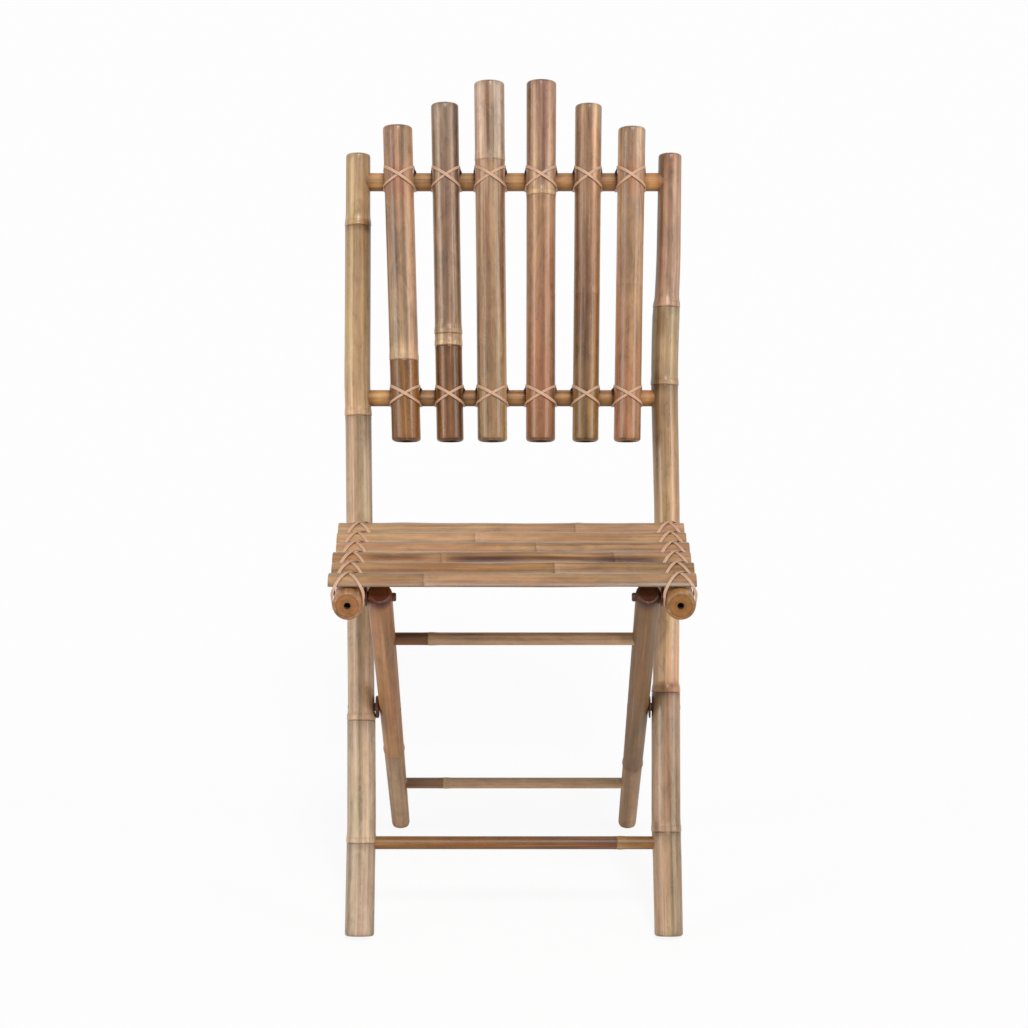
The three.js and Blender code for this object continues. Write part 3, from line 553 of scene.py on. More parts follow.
def culm_profile(rings, settings, bores, stop):
    """Outline of a culm from pole to pole, in rows: place along, radius, and share of tone where the
    surface is sawn, with nought on the skin."""
    ease = settings.eased_edge
    start = rings["start"]
    count = max(4, int((stop - start) / SKIN_STEP))
    close = np.concatenate((NODE_REACH, RIM_REACH))
    skin = skin_places(start + ease, stop - ease, count, rings["nodes"], close)
    radius = read_table(rings["place"], rings["radius"], skin, RADIUS_WINDOW)
    for node, strength in zip(rings["nodes"], rings["strengths"]):
        radius = radius + strength * node_relief(skin - node, settings)
    foot = end_outline(radius[0], bores[0], ease)
    head = end_outline(radius[-1], bores[1], ease)[:, ::-1]
    foot[0] = start + foot[0]
    head[0] = stop - head[0]
    return np.hstack((foot, (skin, radius, 0 * skin), head))


def ring_angles(sides):
    """Angles of the points of a ring."""
    return np.arange(sides) * TURN / sides


def ring_places(radius, angle, place):
    """Side, depth and place along of every point of a row of rings: side is the radius times the
    cosine of the angle and depth the radius times its sine."""
    return radius * np.cos(angle), radius * np.sin(angle), np.repeat(place[:, None], len(angle), axis=1)


def laid(axes, side, depth, along):
    """Points from their places along the three axes of a frame."""
    return side[..., None] * axes[0] + depth[..., None] * axes[1] + along[..., None] * axes[2]


def ring_quads(rows, sides, looped=False):
    """Quads between neighbouring rings, and from the last ring to the first if they form a loop."""
    ring = np.arange(rows if looped else rows - 1)[:, None] * sides
    beyond = (ring + sides) % (rows * sides)
    i = np.arange(sides)
    j = np.roll(i, -1)
    return np.stack((ring + i, ring + j, beyond + j, beyond + i), axis=-1).reshape(-1, 4)


def add_piece(node, ending, grid, grain, tone, looks, cut, seed, body, looped=False, caps=()):
    """A smooth closed mesh of rings, riding on a body in place of its solid. Its last ring joins its
    first, or caps of quads close its ends, or fans of triangles do, to poles in the middle of the end
    rings. Rows of faces that are cut take the second look, as do the ends. The grain is drawn at the
    places across, deep and along, moved on by the seed so that no two pieces are alike."""
    rows, sides = grid.shape[:2]
    quads = ring_quads(rows, sides, looped)
    marks = np.repeat(cut, sides)
    grain = np.stack(np.broadcast_arrays(*grain), axis=-1)
    layers = [grid.reshape(-1, 3), grain.reshape(-1, 3), tone.reshape(-1, 3)]
    fans = np.zeros((0, 3), int)
    if len(caps):
        quads = np.concatenate((quads, caps))
    elif not looped:
        i = np.arange(sides)
        j = np.roll(i, -1)
        pole = np.full(sides, rows * sides)
        last = (rows - 1) * sides
        fans = np.hstack(((pole, j, i), (pole + 1, last + i, last + j))).T
        poles = (grid[[0, -1]].mean(axis=1), grain[[0, -1], 0] * (0, 0, 1), tone[[0, -1], 0])
        layers = [np.concatenate(pair) for pair in zip(layers, poles)]
    marks = np.append(marks, np.full(len(caps) + len(fans), len(looks) > 1))
    points, grain, tone = layers
    name = f"{node}_{ending}"
    mesh = bpy.data.meshes.new(name)
    starts = np.append(np.arange(len(quads)) * 4, len(quads) * 4 + np.arange(len(fans)) * 3)
    corners = np.append(quads, fans)
    mesh.vertices.add(len(points))
    mesh.loops.add(len(corners))
    mesh.polygons.add(len(starts))
    mesh.vertices.foreach_set("co", points.astype(np.float32).ravel())
    mesh.loops.foreach_set("vertex_index", corners.astype(np.int32))
    mesh.polygons.foreach_set("loop_start", starts.astype(np.int32))
    mesh.polygons.foreach_set("material_index", marks.astype(np.int32))
    mesh.polygons.foreach_set("use_smooth", np.ones(len(starts), bool))
    mesh.update(calc_edges=True)
    if mesh.validate():
        raise RuntimeError(f"{name} has a broken mesh")
    grain = (grain + GRAIN_SHIFT * (seed + 1)).astype(np.float32)
    tone = np.insert(tone, 3, 1, axis=1).astype(np.float32)
    mesh.attributes.new("culm", "FLOAT_VECTOR", "POINT").data.foreach_set("vector", grain.ravel())
    mesh.attributes.new("tone", "FLOAT_COLOR", "POINT").data.foreach_set("color", tone.ravel())
    for material in looks:
        mesh.materials.append(material)
    piece = bpy.data.objects.new(name, mesh)
    bpy.context.scene.collection.objects.link(piece)
    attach(piece, body)
    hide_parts(node)


def internode_tones(place, nodes, tones, start, stop):
    """Tone along a culm: straight from foot to head of each internode, with a step at each node."""
    edges = np.concatenate(([start], nodes, [stop]))
    number = np.clip(np.searchsorted(nodes, place), 0, min(len(tones) - 1, len(edges) - 2))
    share = np.clip((place - edges[number]) / (edges[number + 1] - edges[number]), 0, 1)[:, None]
    table = bare(tones)
    return table[number, 0] * (1 - share) + table[number, 1] * share


def tone_culm(settings, place, angle, rings, tones, scar_share, seed, shades):
    """Tone at each place and angle: the internode's own, a pale scar above each node, a dark crease
    at it and a faint line above, a darker foot below it, and marks, which are stains and painted
    highlights and shade. A mark is a place, a half length, a share of each colour, an angle and its
    spread. It fades as e to the minus fourth power along the culm, and as a bell round it."""
    base = internode_tones(place, rings["nodes"] - CREASE_DROP, tones, rings["start"], rings["stop"])
    tone = np.repeat(base[:, None, :], len(angle), axis=1)
    scar = np.array(settings.scar_tone)
    for number, (node, strength) in enumerate(zip(rings["nodes"], rings["strengths"])):
        away = (place - node)[:, None]
        ragged = 0.0007 * np.sin(angle + seed + number) + 0.0003 * np.sin(angle * 3 + seed * 2)
        band = smooth_step(*SCAR_RISE, away) * (1 - smooth_step(*SCAR_FADE, away + ragged * 2))
        line = bell(away + 0.0025 + ragged * 0.2, 0.0006) + 0.3 * bell(away - 0.0040 - ragged, 0.0010)
        under = bell(np.minimum(away + 0.003, 0), 0.008) * (away < -CREASE_DROP)
        tone = tone + (scar_share * strength * band)[:, :, None] * (scar - tone)
        mark = np.clip(strength * line, 0, 1)[:, :, None]
        tone = tone * (1 - 0.85 * mark * (1 - CREASE_SHARES))
        tone = tone * (1 - (0.2 * strength * under)[:, :, None])
    for middle, width, share, side, spread in shades:
        wander = 0.12 * np.sin(place * 31 + middle * 40)[:, None]
        around = bell(np.angle(np.exp(1j * (angle - side + wander * spread))), spread)
        near = np.exp(-((place - middle) / width) ** 4)[:, None] * around
        tone = tone * (1 - near[:, :, None] * (1 - np.asarray(share)))
    return np.clip(tone, 0, 1) * np.asarray(settings.bamboo_tint)


def from_front(shades):
    """Marks whose angles are counted from the front, with their own angles instead."""
    return [(place, width, share, FRONT + side, spread) for place, width, share, side, spread in shades]


def grow_culm(node, axes, kind, tones, body, seed, shades=(), strengths=None, bevel=0.0, on_floor=False):
    """A culm over its solid: each point is the middle of the ring, plus the radius times the cosine
    along side and the sine along depth, plus its place along the axis. The radius varies by a few
    parts in a thousand with two and three times the angle. A bevelled head slants with the side, and
    a foot is lifted to the floor, by less the further up it is."""
    settings = bpy.context.scene.chair_finish
    slot, sides, _, _, scar, cut, bores = KINDS[kind]
    rings = read_rings(node, axes)
    rings["strengths"] = strengths or (1.0,) * len(rings["nodes"])
    start = rings["start"]
    stop = rings["stop"] - bevel * rings["radius"][-1]
    place, reach, sawn = culm_profile(rings, settings, bores, stop)
    across = read_table(rings["place"], rings["across"], place, ACROSS_WINDOW)
    angle = ring_angles(sides)
    wobble = np.cos(2 * angle + seed) * 0.006 + np.cos(3 * angle - 9 * place[:, None] + 2 * seed) * 0.004
    side, depth, along = ring_places(reach[:, None] * (1 + settings.out_of_round * wobble), angle, place)
    if bevel:
        along = along + bevel * side * smooth_step(stop - BEVEL_RAMP, stop, along)
    if on_floor:
        floor = -(rings["depth"] + depth) * axes[1, 2] / axes[2, 2]
        along = along + np.maximum(floor - start, 0) * np.clip(1 - (along - start) / FOOT_SPAN, 0, 1)
    grid = laid(axes, across[:, None] + side, rings["depth"] + depth, along)
    tone = tone_culm(settings, place, angle, rings, tones, scar, seed, shades)
    worn = 1 - END_WEAR * (bell(place - start, WEAR_REACH) + bell(place - stop, WEAR_REACH))
    tone = tone * worn[:, None, None]
    share = sawn[:, None, None]
    tone = np.where(share > 0, tone * share * np.array(cut), tone)
    add_piece(node, "culm", grid, (side, depth, along), tone, culm_looks(kind),
              (sawn[:-1] > 0) & (sawn[1:] > 0), seed, body)


def split_section(number):
    """Section of a seat slat's solid at its end, an arc over a flat. The radius of the arc is the half
    width squared plus the height squared, over twice the height, and its centre is sunk below the
    flat by the radius less the height."""
    points = node_points(f"seat_slat_{number}", SEAT_CROSS)
    ring = points[points[:, 2] < points[:, 2].min() + RING_GAP]
    half = np.ptp(ring[:, 0]) / 2
    tall = np.ptp(ring[:, 1])
    outer = (half * half + tall * tall) / (2 * tall)
    middle = (ring[:, 0].max() + ring[:, 0].min()) / 2
    return {"places": np.unique(points[:, 2]), "middle": middle, "half": half, "flat": ring[:, 1].min(),
            "outer": outer, "sunk": outer - tall}


def split_outline(outer, inner, sunk):
    """Section of a split culm for each row: the outer arc from front to rear over the top, then the
    inner arc back, both about one centre that lies sunk below the flats."""
    sides = []
    rises = []
    for radius, share in ((outer, np.linspace(0, 1, SLAT_ARC)), (inner, np.linspace(1, 0, SLAT_ARC))):
        first = np.arcsin(sunk / radius)[:, None]
        angle = first + (math.pi - 2 * first) * share
        sides.append(radius[:, None] * np.cos(angle))
        rises.append(radius[:, None] * np.sin(angle))
    return np.hstack(sides), np.hstack(rises) - sunk


def grow_seat_slat(number, seed):
    """A split culm across the seat: its section is carried along X, its outer radius grows at each
    node, and both radii close in over the eased ends. It bows and waves between the rails only, so
    that the lacing lies close to it. The ends are closed by quads from the outer to the inner arc."""
    settings = bpy.context.scene.chair_finish
    section = split_section(number)
    sunk = section["sunk"]
    start, stop = section["places"][[0, -1]]
    lips = find_lips(section["places"])
    nodes = (section["places"][lips] + section["places"][lips + 1]) / 2
    edge, loss = eased_edge(SLAT_EASE, (90, 60, 30))
    skin = skin_places(start + SLAT_EASE, stop - SLAT_EASE, SLAT_RINGS, nodes, NODE_REACH)
    place = np.concatenate((start + edge, skin, (stop - edge)[::-1]))
    drop = np.concatenate((loss, np.zeros(len(skin)), loss[::-1]))
    swell = sum(SLAT_NODE_STRENGTH * node_relief(place - node, settings) for node in nodes)
    free = 1 - smooth_step(*SLAT_ON_RAIL, np.abs(place))
    wave = free * (0.0003 * np.sin(place * 23 + seed * 3) + 0.0002 * np.sin(place * 61 + seed))
    inner = section["outer"] - settings.slat_wall + 0.6 * drop
    side, rise = split_outline(section["outer"] + swell + wave - drop, inner, sunk)
    bow = free * (0.0008 * np.sin(place * 9 + seed) + 0.0005 * np.sin(place * 37 + 2 * seed))
    grid = laid(SEAT_CROSS, (section["middle"] + bow)[:, None] + side, section["flat"] + rise,
                place[:, None])
    rows, sides = side.shape
    i = np.arange(SLAT_ARC - 1)
    j = sides - 1 - i
    caps = np.concatenate((np.stack((i, j, j - 1, i + 1), axis=-1),
                           np.stack((i, i + 1, j - 1, j), axis=-1) + (rows - 1) * sides))
    angle = np.arctan2(rise + sunk, side)[0]
    rings = {"nodes": nodes, "start": start, "stop": stop, "strengths": (SLAT_NODE_STRENGTH,) * len(nodes)}
    tone = tone_culm(settings, place, angle, rings, SEAT_TONES[number - 1], KINDS["seat"].scar, seed,
                     SEAT_STAINS_AND_SHADING[number - 1])
    tone[:, SLAT_ARC:] *= SLAT_INSIDE
    # Painted shade: each slat darker towards its edges, where it meets the gaps between slats
    gap_shade = 1 - SEAT_GAP_SHADE[number - 1] * smooth_step(0.6, 1.0, np.abs(side) / section["half"])
    add_piece(f"seat_slat_{number}", "split_culm", grid, (side, rise + sunk, place[:, None]),
              tone * gap_shade[:, :, None], culm_looks("seat"), np.zeros(rows - 1), seed, "seat",
              caps=caps)


def grow_peg(node, axes, body, seed):
    """A whittled peg: a rod with rounded ends whose radius wavers with the angle and the place."""
    rings = read_rings(node, axes)
    start = rings["start"]
    stop = rings["stop"]
    reach = float(np.median(rings["radius"]))
    ease = min(0.0016, 0.35 * rings["radius"][0])
    edge, loss = eased_edge(ease, (*EDGE_DEGREES, 0))
    shaft = np.linspace(start + ease, stop - ease, max(3, int((stop - start) / PEG_STEP)))[1:-1]
    place = np.concatenate(([start, start], start + edge, shaft, (stop - edge)[::-1], [stop, stop]))
    caps = np.array((0.3, 0.7)) * (reach - ease)
    lip = reach - loss
    radius = np.concatenate((caps, lip, np.full(len(shaft), reach), lip[::-1], caps[::-1]))
    angle = ring_angles(KINDS["peg"].sides)
    flats = 0.010 * np.cos(5 * angle + seed) + 0.006 * np.cos(3 * angle + 90 * place[:, None])
    side, depth, along = ring_places(radius[:, None] * (0.99 + flats), angle, place)
    grid = laid(axes, rings["across"][0] + side, rings["depth"] + depth, along)
    add_piece(node, "whittled", grid, (side, depth, along), np.broadcast_to(bare(PEG_TONE), grid.shape),
              culm_looks("peg"), np.abs(np.diff(place)) < SAME_PLACE, seed, body)


def grow_spacer(node, axes, body, seed, swell):
    """A spacer ring cut from a thin culm: its section, an outline with rounded corners, is carried
    once round the bore, so that side and depth are the radius times cosine and sine."""
    points = node_points(node, axes)
    low = points.min(axis=0)
    high = points.max(axis=0)
    middle = (high + low) / 2
    start = low[2]
    stop = high[2]
    outer = (high[0] - low[0]) / 2 * swell
    inner = np.hypot(points[:, 0] - middle[0], points[:, 1] - middle[1]).min() + 0.0001
    mouth = inner + MOUTH_STEP
    waist = (inner + outer) / 2
    edge, loss = eased_edge(min(0.0012, 0.3 * (stop - start)), np.linspace(90, 0, 5))
    lip = outer - loss
    place = np.concatenate(([start, start], start + edge, [middle[2]], (stop - edge)[::-1], [stop, stop],
                            [stop - MOUTH_STEP, middle[2], start + MOUTH_STEP]))
    reach = np.concatenate(([mouth, waist], lip, [outer + RIM_STEP], lip[::-1], [waist, mouth], [inner] * 3))
    angle = ring_angles(SPACER_SIDES)
    radius = reach[:, None] * (1 + 0.008 * np.cos(2 * angle + seed))
    side, depth, along = ring_places(radius, angle, place)
    grid = laid(axes, middle[0] + side, middle[1] + depth, along)
    cut = np.abs(np.roll(place, -1) - place) < SAME_PLACE
    add_piece(node, "ring", grid, (side, depth, along), np.broadcast_to(bare(SPACER_TONE), grid.shape),
              culm_looks("peg"), cut, seed, body, looped=True)


def lacing_path(rail, slats, settings, straight):
    """Path of one strip along a rail, with the way out from what it lies on. Along the rail is s,
    across it q and towards the slats o. Over a slat, for an angle from minus to plus a quarter turn,
    s is the slat's place plus its reach times the sine, q the rail's reach times a share straight
    times the sine and the rest times the cube of the angle's share of a quarter turn, and o the
    slat's centre plus its reach times the cosine. Behind the rail q and o go round by half a turn
    while s moves smoothly on to where the next run starts."""
    thick = settings.cane_thickness / 2 + settings.cane_clearance
    lift = settings.cane_thickness + settings.cane_clearance
    over = rail + thick
    paths = []
    outs = []

    def add_run(s, q, o, out_s, out_q, out_o):
        paths.append(np.stack((s, q, o), axis=-1))
        outs.append(np.stack((out_s, out_q, out_o), axis=-1))

    def diagonal(place, reach, centre, turn, raised):
        a = np.linspace(-math.pi / 2, math.pi / 2, RUN_POINTS)
        spread = straight * np.sin(a) + (1 - straight) * (2 * a / math.pi) ** 3
        add_run(place + turn * reach * np.sin(a), over * spread, centre + (reach + raised) * np.cos(a),
                turn * np.sin(a), 0 * a, np.cos(a))

    def behind(start, stop, first, last, raised):
        share = np.linspace(first, last, RUN_POINTS)
        a = math.pi * share
        move = smooth_step(*MOVE_SPAN, share)
        add_run(start + (stop - start) * move, over * np.cos(a), -(over + raised) * np.sin(a),
                0 * a, np.cos(a), -np.sin(a))

    for number, (place, radius, centre) in enumerate(slats):
        reach = radius + thick
        low = place - reach
        high = place + reach
        if number == 0:
            behind(low, low, 0.6, 1, 0)
        diagonal(place, reach, centre, 1, 0)
        behind(high, high, 0, 1, 0)
        diagonal(place, reach, centre, -1, lift)
        if number + 1 < len(slats):
            beyond = slats[number + 1]
            behind(low, beyond[0] - beyond[1] - thick, 0, 1, lift)
        else:
            behind(low, low, 0, 0.4, 0)
    return np.concatenate(paths), np.concatenate(outs)


def even_path(path, outs):
    """The path read at even steps of its length, then averaged over a window, as are the ways out over
    one three times as long."""
    step = np.linalg.norm(np.diff(path, axis=0), axis=1)
    keep = np.concatenate(([True], step > SAME_PLACE))
    path = path[keep]
    outs = outs[keep]
    run = np.concatenate(([0], np.cumsum(np.linalg.norm(np.diff(path, axis=0), axis=1))))
    at = np.arange(0, run[-1], LACING_STEP)
    path = np.stack([np.interp(at, run, values) for values in path.T], axis=-1)
    outs = np.stack([np.interp(at, run, values) for values in outs.T], axis=-1)
    return rolling(path, LACING_WINDOW), rolling(outs, 3 * LACING_WINDOW)


def rolling(values, window):
    """Mean of each row with its neighbours, window rows each way, ends repeated."""
    padded = np.pad(values, ((window, window), (0, 0)), mode="edge")
    total = np.cumsum(np.concatenate((np.zeros((1, 3)), padded)), axis=0)
    width = 2 * window + 1
    return (total[width:] - total[:-width]) / width


def rounded(share, power):
    """A sine or cosine raised to a power below one, with its sign, which makes an oval boxier."""
    return np.sign(share) * np.abs(share).clip(1e-9) ** power


def grow_lacing(node, rail, slats, axes, middle, body, seed, straight):
    """Two plies of cane side by side along the path: their section is a flat oval with a groove along
    its middle, and lies across the path with its face outwards."""
    settings = bpy.context.scene.chair_finish
    path, outs = even_path(*lacing_path(rail, slats, settings, straight))
    path = path @ axes + middle
    outs = outs @ axes
    ahead = np.gradient(path, axis=0)
    ahead /= np.linalg.norm(ahead, axis=1)[:, None]
    outs -= (outs * ahead).sum(axis=1)[:, None] * ahead
    outs /= np.linalg.norm(outs, axis=1)[:, None]
    beside = np.cross(outs, ahead)
    angle = ring_angles(LACING_SIDES)
    across = rounded(np.cos(angle), 0.6)
    groove = bell(across, 0.3)
    rows = np.arange(len(path))
    taper = smooth_step(0, TAPER_ROWS, np.minimum(rows, rows[::-1]) + 1.0)[:, None]
    width = settings.cane_width / 2 * (0.9 + 0.08 * np.sin(rows * 0.021 + seed))[:, None] * taper
    wide = width * across
    high = settings.cane_thickness / 2 * taper * (rounded(np.sin(angle), 0.7) * (1 - 0.45 * groove))
    grid = path[:, None, :] + wide[:, :, None] * beside[:, None, :] + high[:, :, None] * outs[:, None, :]
    # Painted shade: the strip is darker towards its edges and along its groove
    edge = (1 - 0.34 * smooth_step(0.8, 1.0, np.abs(across))) * (1 - 0.25 * groove)
    tone = np.broadcast_to(bare(CANE_TONE) * edge[:, None] * np.asarray(settings.bamboo_tint), grid.shape)
    add_piece(node, "strip", grid, (wide, high, rows[:, None] * LACING_STEP), tone,
              (look("cane_strip", cane_strip),), np.zeros(len(path) - 1), seed, body)


def back_rail_slats(rail_node):
    """Place across, radius and centre of each back slat where it crosses a rail, from the rail out."""
    rail = read_rings(rail_node, BACK_CROSS)
    height = rail["depth"]
    level = rail["across"][0]
    at = np.array([height])
    found = []
    for number in SLAT_NUMBERS:
        rings = read_rings(f"back_slat_{number}", BACK_AXES)
        place, radius = (float(read_table(rings["place"], rings[name], at, CROSSING_WINDOW)[0])
                         for name in ("across", "radius"))
        found.append((place, radius, level - rings["depth"]))
    return found, float(rail["radius"].max()), level, height


def seat_rail_slats(side):
    """Place along, radius and centre of each seat slat where it lies on a rail, from the rail out."""
    rail = read_rings(f"{side}_seat_rail", SEAT_LENGTH)
    found = []
    for number in SLAT_NUMBERS:
        section = split_section(number)
        centre = section["flat"] - section["sunk"]
        found.append((section["middle"], section["outer"], centre - rail["across"][0]))
    return found, float(rail["radius"].max()), rail


def number(name, default, description, **options):
    """A number that a user may change."""
    return FloatProperty(name=name, default=default, description=description, **options)


def colour(name, tone, description):
    """A colour that a user may change, from its bytes."""
    return FloatVectorProperty(name=name, default=tuple(linear(tone)), description=description,
                               subtype="COLOR")


class ChairFinish(bpy.types.PropertyGroup):
    """Sizes and colours of the finish that a user may change."""
    node_height: number("Node Height", 0.0010, "How far a bamboo node stands proud of its culm",
                        unit="LENGTH")
    eased_edge: number("Eased Edge", 0.0032, "Radius of the rounded edge of a sawn end", unit="LENGTH")
    out_of_round: number("Out of Round", 1.0, "How much each culm departs from a circle, 1 as grown",
                         subtype="FACTOR")
    slat_wall: number("Seat Slat Wall", 0.0046, "Thickness of the split culms of the seat", unit="LENGTH")
    cane_width: number("Cane Width", 0.0035, "Width of the strip that laces the slats", unit="LENGTH")
    cane_thickness: number("Cane Thickness", 0.0009, "Thickness of the strip that laces the slats",
                           unit="LENGTH")
    cane_clearance: number("Cane Clearance", 0.00025, "Space between the strip and what it is wound on",
                           unit="LENGTH")
    relief: number("Grain Relief", 0.0005, "Depth of the grain", unit="LENGTH")
    streaks: number("Streaks", 1.0, "Strength of the lengthwise streaks", subtype="FACTOR")
    flush: number("Flush", 1.0, "Strength of the pink and olive patches", subtype="FACTOR")
    specks: number("Specks", 0.8, "Strength of the dark specks", subtype="FACTOR")
    bamboo_tint: colour("Bamboo Tint", (255, 255, 255), "Colour that culms and cane are multiplied by")
    skin_ior: number("Skin Gloss", 1.46, "Refractive index of the waxy skin")
    wax_tone: colour("Wax Tone", (206, 182, 160), "Pale bloom on the skin of a culm")
    scar_tone: colour("Scar Tone", (204, 172, 136), "Pale band above a node")


class ChairStudio(bpy.types.PropertyGroup):
    """Light and camera of the stage."""
    key_strength: number("Key Light", 1.62, "Strength of the sun from the front")
    side_strength: number("Side Lights", 0.9, "Strength of each sun from the sides")
    sky_strength: number("Sky Light", 0.36, "Strength of the even light from all round")
    lens: number("Lens", 94.55, "Focal length for a square picture on a 36 mm sensor", unit="CAMERA")


class CHAIR_OT_posts(bpy.types.Operator):
    """Grow the two long posts"""
    bl_idname = "chair.posts"
    bl_label = "Posts"

    def execute(self, context):
        for number, side in enumerate(SIDE_NAMES):
            grow_culm(f"{side}_post", BACK_AXES, "post", POST_TONES[side], "back_frame", 1.0 + number,
                      from_front(POST_STAINS_AND_SHADING[side]), on_floor=True)
        return {"FINISHED"}


class CHAIR_OT_back_slats(bpy.types.Operator):
    """Grow the six slats of the back"""
    bl_idname = "chair.back_slats"
    bl_label = "Back Slats"

    def execute(self, context):
        rows = zip(SLAT_NUMBERS, SLAT_TONES, SLAT_STAINS_AND_SHADING, SLAT_NODE_STRENGTHS)
        for number, tones, shades, strengths in rows:
            grow_culm(f"back_slat_{number}", BACK_AXES, "slat", tones, "back_frame", 4.0 + 1.7 * number,
                      from_front(shades), strengths)
        return {"FINISHED"}


class CHAIR_OT_back_rails(bpy.types.Operator):
    """Grow the two rails that carry the back slats"""
    bl_idname = "chair.back_rails"
    bl_label = "Back Rails"

    def execute(self, context):
        for number, name in enumerate(BACK_RAILS):
            rings = read_rings(name, BACK_CROSS)
            # Painted shade on the rail: each slat's shadow beside it, shade along its top and bottom edges,
            # and shade at its ends where they go into the posts
            shades = [(place, radius + RAIL_SHADOW, (0.24, 0.16, 0.10), 0.0, ALL_ROUND)
                      for place, radius, _ in back_rail_slats(name)[0]]
            shades += [(0.0, ALL_ALONG, (0.55, 0.43, 0.33), angle, 0.5) for angle in (1.6, -1.7)]
            shades += [(rings[end], RAIL_END_SHADE, (0.42, 0.3, 0.2), 0.0, ALL_ROUND)
                       for end in ("start", "stop")]
            grow_culm(name, BACK_CROSS, "rail", ((RAIL_TONE, RAIL_TONE),), "back_frame", 16.0 + number,
                      shades)
        return {"FINISHED"}


class CHAIR_OT_legs(bpy.types.Operator):
    """Grow the two rear legs"""
    bl_idname = "chair.legs"
    bl_label = "Rear Legs"

    def execute(self, context):
        for number, side in enumerate(SIDE_NAMES):
            name = f"{side}_rear_leg"
            top = read_rings(name, LEG_AXES)["stop"]
            # The top of the leg is darkened in front, behind and all round: a painted shadow of the seat
            stain_and_shade = LEG_TOP_SHADOWS[side]
            shades = from_front(((top, 0.016, stain_and_shade, -0.4, 0.9), (top, 0.012, stain_and_shade, 0.7, 0.9)))
            shades.append((top, 0.009, (0.5, 0.34, 0.2), 0.0, ALL_ROUND))
            grow_culm(name, LEG_AXES, "leg", LEG_TONES[side], "rear_legs", 19.0 + number, shades,
                      on_floor=True)
        return {"FINISHED"}


class CHAIR_OT_stretchers(bpy.types.Operator):
    """Grow the thin culms that join the posts and the legs"""
    bl_idname = "chair.stretchers"
    bl_label = "Stretchers"

    def execute(self, context):
        rows = ((BACK_CROSS, "back_frame"), (LEG_CROSS, "rear_legs"), (LEG_CROSS, "rear_legs"))
        for number, (name, (axes, body)) in enumerate(zip(STRETCHER_TONES, rows)):
            grow_culm(name, axes, "stretcher", STRETCHER_TONES[name], body, 22.0 + number, strengths=(0.5,))
        return {"FINISHED"}


class CHAIR_OT_seat_rails(bpy.types.Operator):
    """Grow the two rails of the seat"""
    bl_idname = "chair.seat_rails"
    bl_label = "Seat Rails"

    def execute(self, context):
        for number, side in enumerate(SIDE_NAMES):
            grow_culm(f"{side}_seat_rail", SEAT_LENGTH, "seat", SEAT_RAIL_TONES[side], "seat",
                      26.0 + number, bevel=BEVEL_SHARE)
        return {"FINISHED"}


class CHAIR_OT_seat_slats(bpy.types.Operator):
    """Grow the six split culms of the seat"""
    bl_idname = "chair.seat_slats"
    bl_label = "Seat Slats"

    def execute(self, context):
        for number in SLAT_NUMBERS:
            grow_seat_slat(number, 29.0 + number)
        return {"FINISHED"}


class CHAIR_OT_pegs(bpy.types.Operator):
    """Whittle the hinge pegs, the rest pegs and the spacer rings"""
    bl_idname = "chair.pegs"
    bl_label = "Pegs and Spacers"

    def execute(self, context):
        for number, side in enumerate(SIDE_NAMES):
            grow_peg(f"{side}_cross_peg", BACK_CROSS, "back_frame", 36.0 + number)
            grow_peg(f"{side}_seat_hinge_peg", SEAT_CROSS, "seat", 38.0 + number)
            grow_peg(f"{side}_seat_rest_peg", SEAT_LENGTH, "back_frame", 40.0 + number)
            grow_spacer(f"{side}_cross_spacer", BACK_CROSS, "back_frame", 42.0 + number, 1.3)
            grow_spacer(f"{side}_seat_hinge_spacer", SEAT_CROSS, "seat", 44.0 + number, 1.0)
        return {"FINISHED"}


class CHAIR_OT_lacing(bpy.types.Operator):
    """Wind the cane that laces the slats to their rails"""
    bl_idname = "chair.lacing"
    bl_label = "Cane Lacing"

    def execute(self, context):
        across, ahead, up = BACK_AXES
        for number, name in enumerate(BACK_RAILS):
            slats, radius, level, height = back_rail_slats(name)
            grow_lacing(f"{name}_lacing", radius, slats, np.stack((across, up, -ahead)),
                        level * ahead + height * up, "back_frame", 47.0 + number, 1.0)
        across, ahead, up = SEAT_AXES
        for number, side in enumerate(SIDE_NAMES):
            slats, radius, rail = seat_rail_slats(side)
            middle = rail["depth"] * across + rail["across"][0] * up
            grow_lacing(f"{side}_seat_lacing", radius, slats, np.stack((ahead, -across, up)), middle,
                        "seat", 49.0 + number, 0.8)
        return {"FINISHED"}


class CHAIR_OT_stage(bpy.types.Operator):
    """Set the floor, the lights, the sky and the camera"""
    bl_idname = "chair.stage"
    bl_label = "Stage"

    def execute(self, context):
        studio = context.scene.chair_studio
        build_floor()
        build_sky(context.scene, studio)
        lamps = (("key_light", studio.key_strength, 12, 48, 8),
                 ("left_light", studio.side_strength, 26, 15.5, -58),
                 ("right_light", studio.side_strength, 26, 15.5, 58))
        for name, strength, softness, elevation, azimuth in lamps:
            lamp = bpy.data.lights.new(name, "SUN")
            lamp.energy = strength
            lamp.angle = math.radians(softness)
            turn = (math.radians(90 - elevation), 0, math.radians(azimuth))
            place_object(context.scene, name, lamp, (0, 0, 0), turn)
        camera = bpy.data.cameras.new("camera")
        camera.sensor_width = 36
        camera.sensor_fit = "HORIZONTAL"
        camera.lens = studio.lens
        turn = (math.radians(90) - CAMERA_PITCH, 0, 0)
        context.scene.camera = place_object(context.scene, "camera", camera, CAMERA_PLACE, turn)
        context.scene.view_settings.view_transform = "Standard"
        return {"FINISHED"}


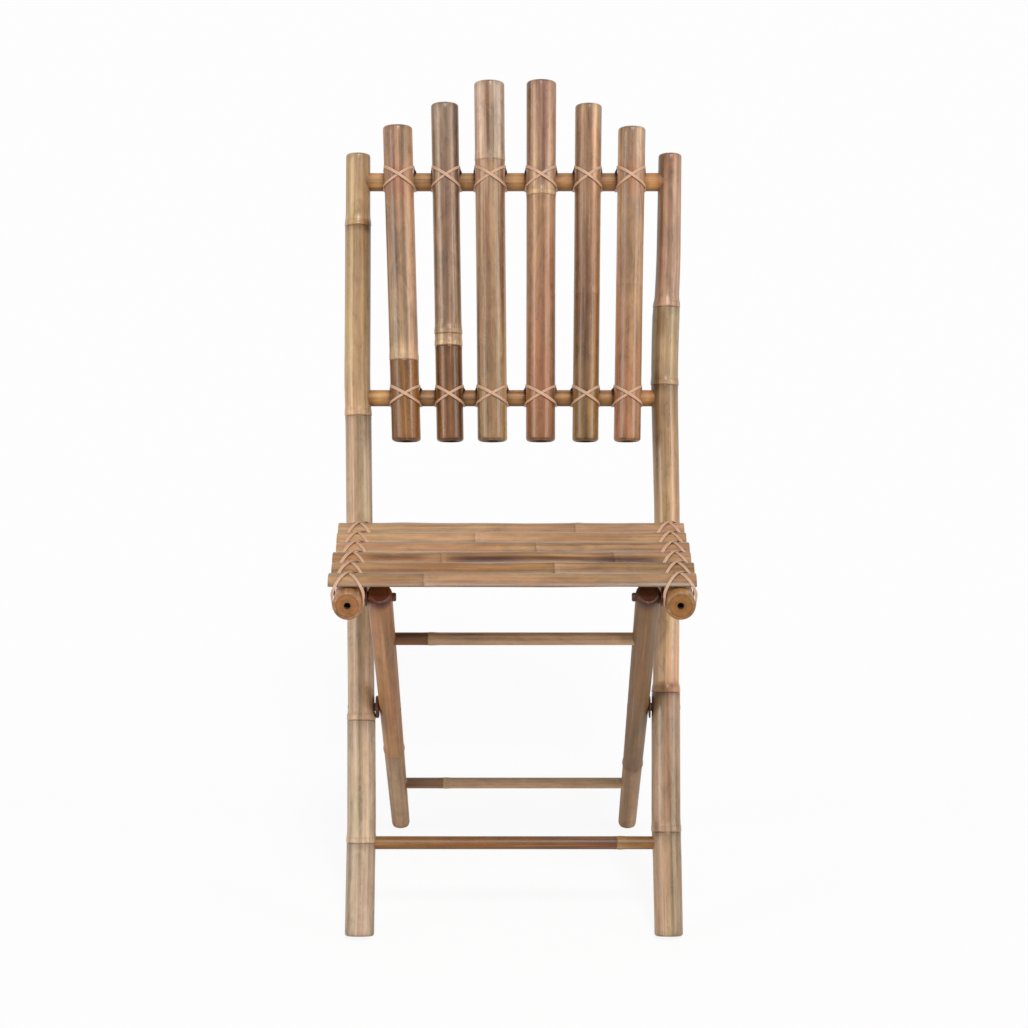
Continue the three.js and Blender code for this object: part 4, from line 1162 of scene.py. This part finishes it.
def place_object(scene, name, data, location=(0, 0, 0), turn=(0, 0, 0)):
    """An object of the stage, linked to the scene."""
    made = bpy.data.objects.new(name, data)
    made.location = location
    made.rotation_euler = turn
    scene.collection.objects.link(made)
    return made


def build_floor():
    """A plain square floor that looks pale to the camera and keeps the shadow."""
    mesh = bpy.data.meshes.new("floor")
    corners = np.array(((-1, -1, 0), (1, -1, 0), (1, 1, 0), (-1, 1, 0))) * FLOOR_REACH
    mesh.from_pydata(corners.tolist(), [], [(0, 1, 2, 3)])
    floor = place_object(bpy.context.scene, "floor", mesh)
    bench = Bench(bpy.data.materials.new("floor_paper"))
    matt = bench.node("ShaderNodeBsdfDiffuse", {"Color": (0.94, 0.94, 0.94, 1.0)})
    glow = bench.node("ShaderNodeEmission", {"Color": WHITE, "Strength": 1.0})
    camera_ray = bench.node("ShaderNodeLightPath")
    paper = bench.node("ShaderNodeMixShader", {0: camera_ray * 0.9, 1: matt, 2: glow})
    bench.node("ShaderNodeOutputMaterial", {"Surface": paper})
    mesh.materials.append(bench.holder)


def build_sky(scene, studio):
    """Even grey light, seen as white by the camera and in reflections."""
    world = bpy.data.worlds.new("sky")
    scene.world = world
    bench = Bench(world)
    camera_ray = bench.node("ShaderNodeLightPath")
    glossy_ray = bench.node("ShaderNodeLightPath", output=3)
    clear_ray = bench.node("ShaderNodeLightPath", output=6)
    seen = camera_ray.math("MAXIMUM", camera_ray, camera_ray.math("MAXIMUM", glossy_ray, clear_ray))
    even = bench.node("ShaderNodeBackground", {"Color": WHITE, "Strength": studio.sky_strength})
    white = bench.node("ShaderNodeBackground", {"Color": WHITE, "Strength": 1.0})
    both = bench.node("ShaderNodeMixShader", {0: seen, 1: even, 2: white})
    bench.node("ShaderNodeOutputWorld", {"Surface": both})


class CHAIR_PT_steps(bpy.types.Panel):
    """The steps that dress the chair, in order"""
    bl_idname = "CHAIR_PT_steps"
    bl_label = "Bamboo Chair"
    bl_space_type = "VIEW_3D"
    bl_region_type = "UI"
    bl_category = "Bamboo Chair"

    def draw(self, context):
        for step in STEPS:
            self.layout.operator(f"chair.{step}")


STEPS = ("posts", "back_slats", "back_rails", "legs", "stretchers", "seat_rails", "seat_slats", "pegs",
         "lacing", "stage")
CLASSES = (ChairFinish, ChairStudio, CHAIR_OT_posts, CHAIR_OT_back_slats, CHAIR_OT_back_rails,
           CHAIR_OT_legs, CHAIR_OT_stretchers, CHAIR_OT_seat_rails, CHAIR_OT_seat_slats, CHAIR_OT_pegs,
           CHAIR_OT_lacing, CHAIR_OT_stage, CHAIR_PT_steps)


def register():
    for cls in CLASSES:
        bpy.utils.register_class(cls)
    bpy.types.Scene.chair_finish = PointerProperty(type=ChairFinish)
    bpy.types.Scene.chair_studio = PointerProperty(type=ChairStudio)


def unregister():
    del bpy.types.Scene.chair_studio
    del bpy.types.Scene.chair_finish
    for cls in reversed(CLASSES):
        bpy.utils.unregister_class(cls)


def main():
    register()
    for step in STEPS:
        getattr(bpy.ops.chair, step)()


if __name__ == "__main__":
    main()
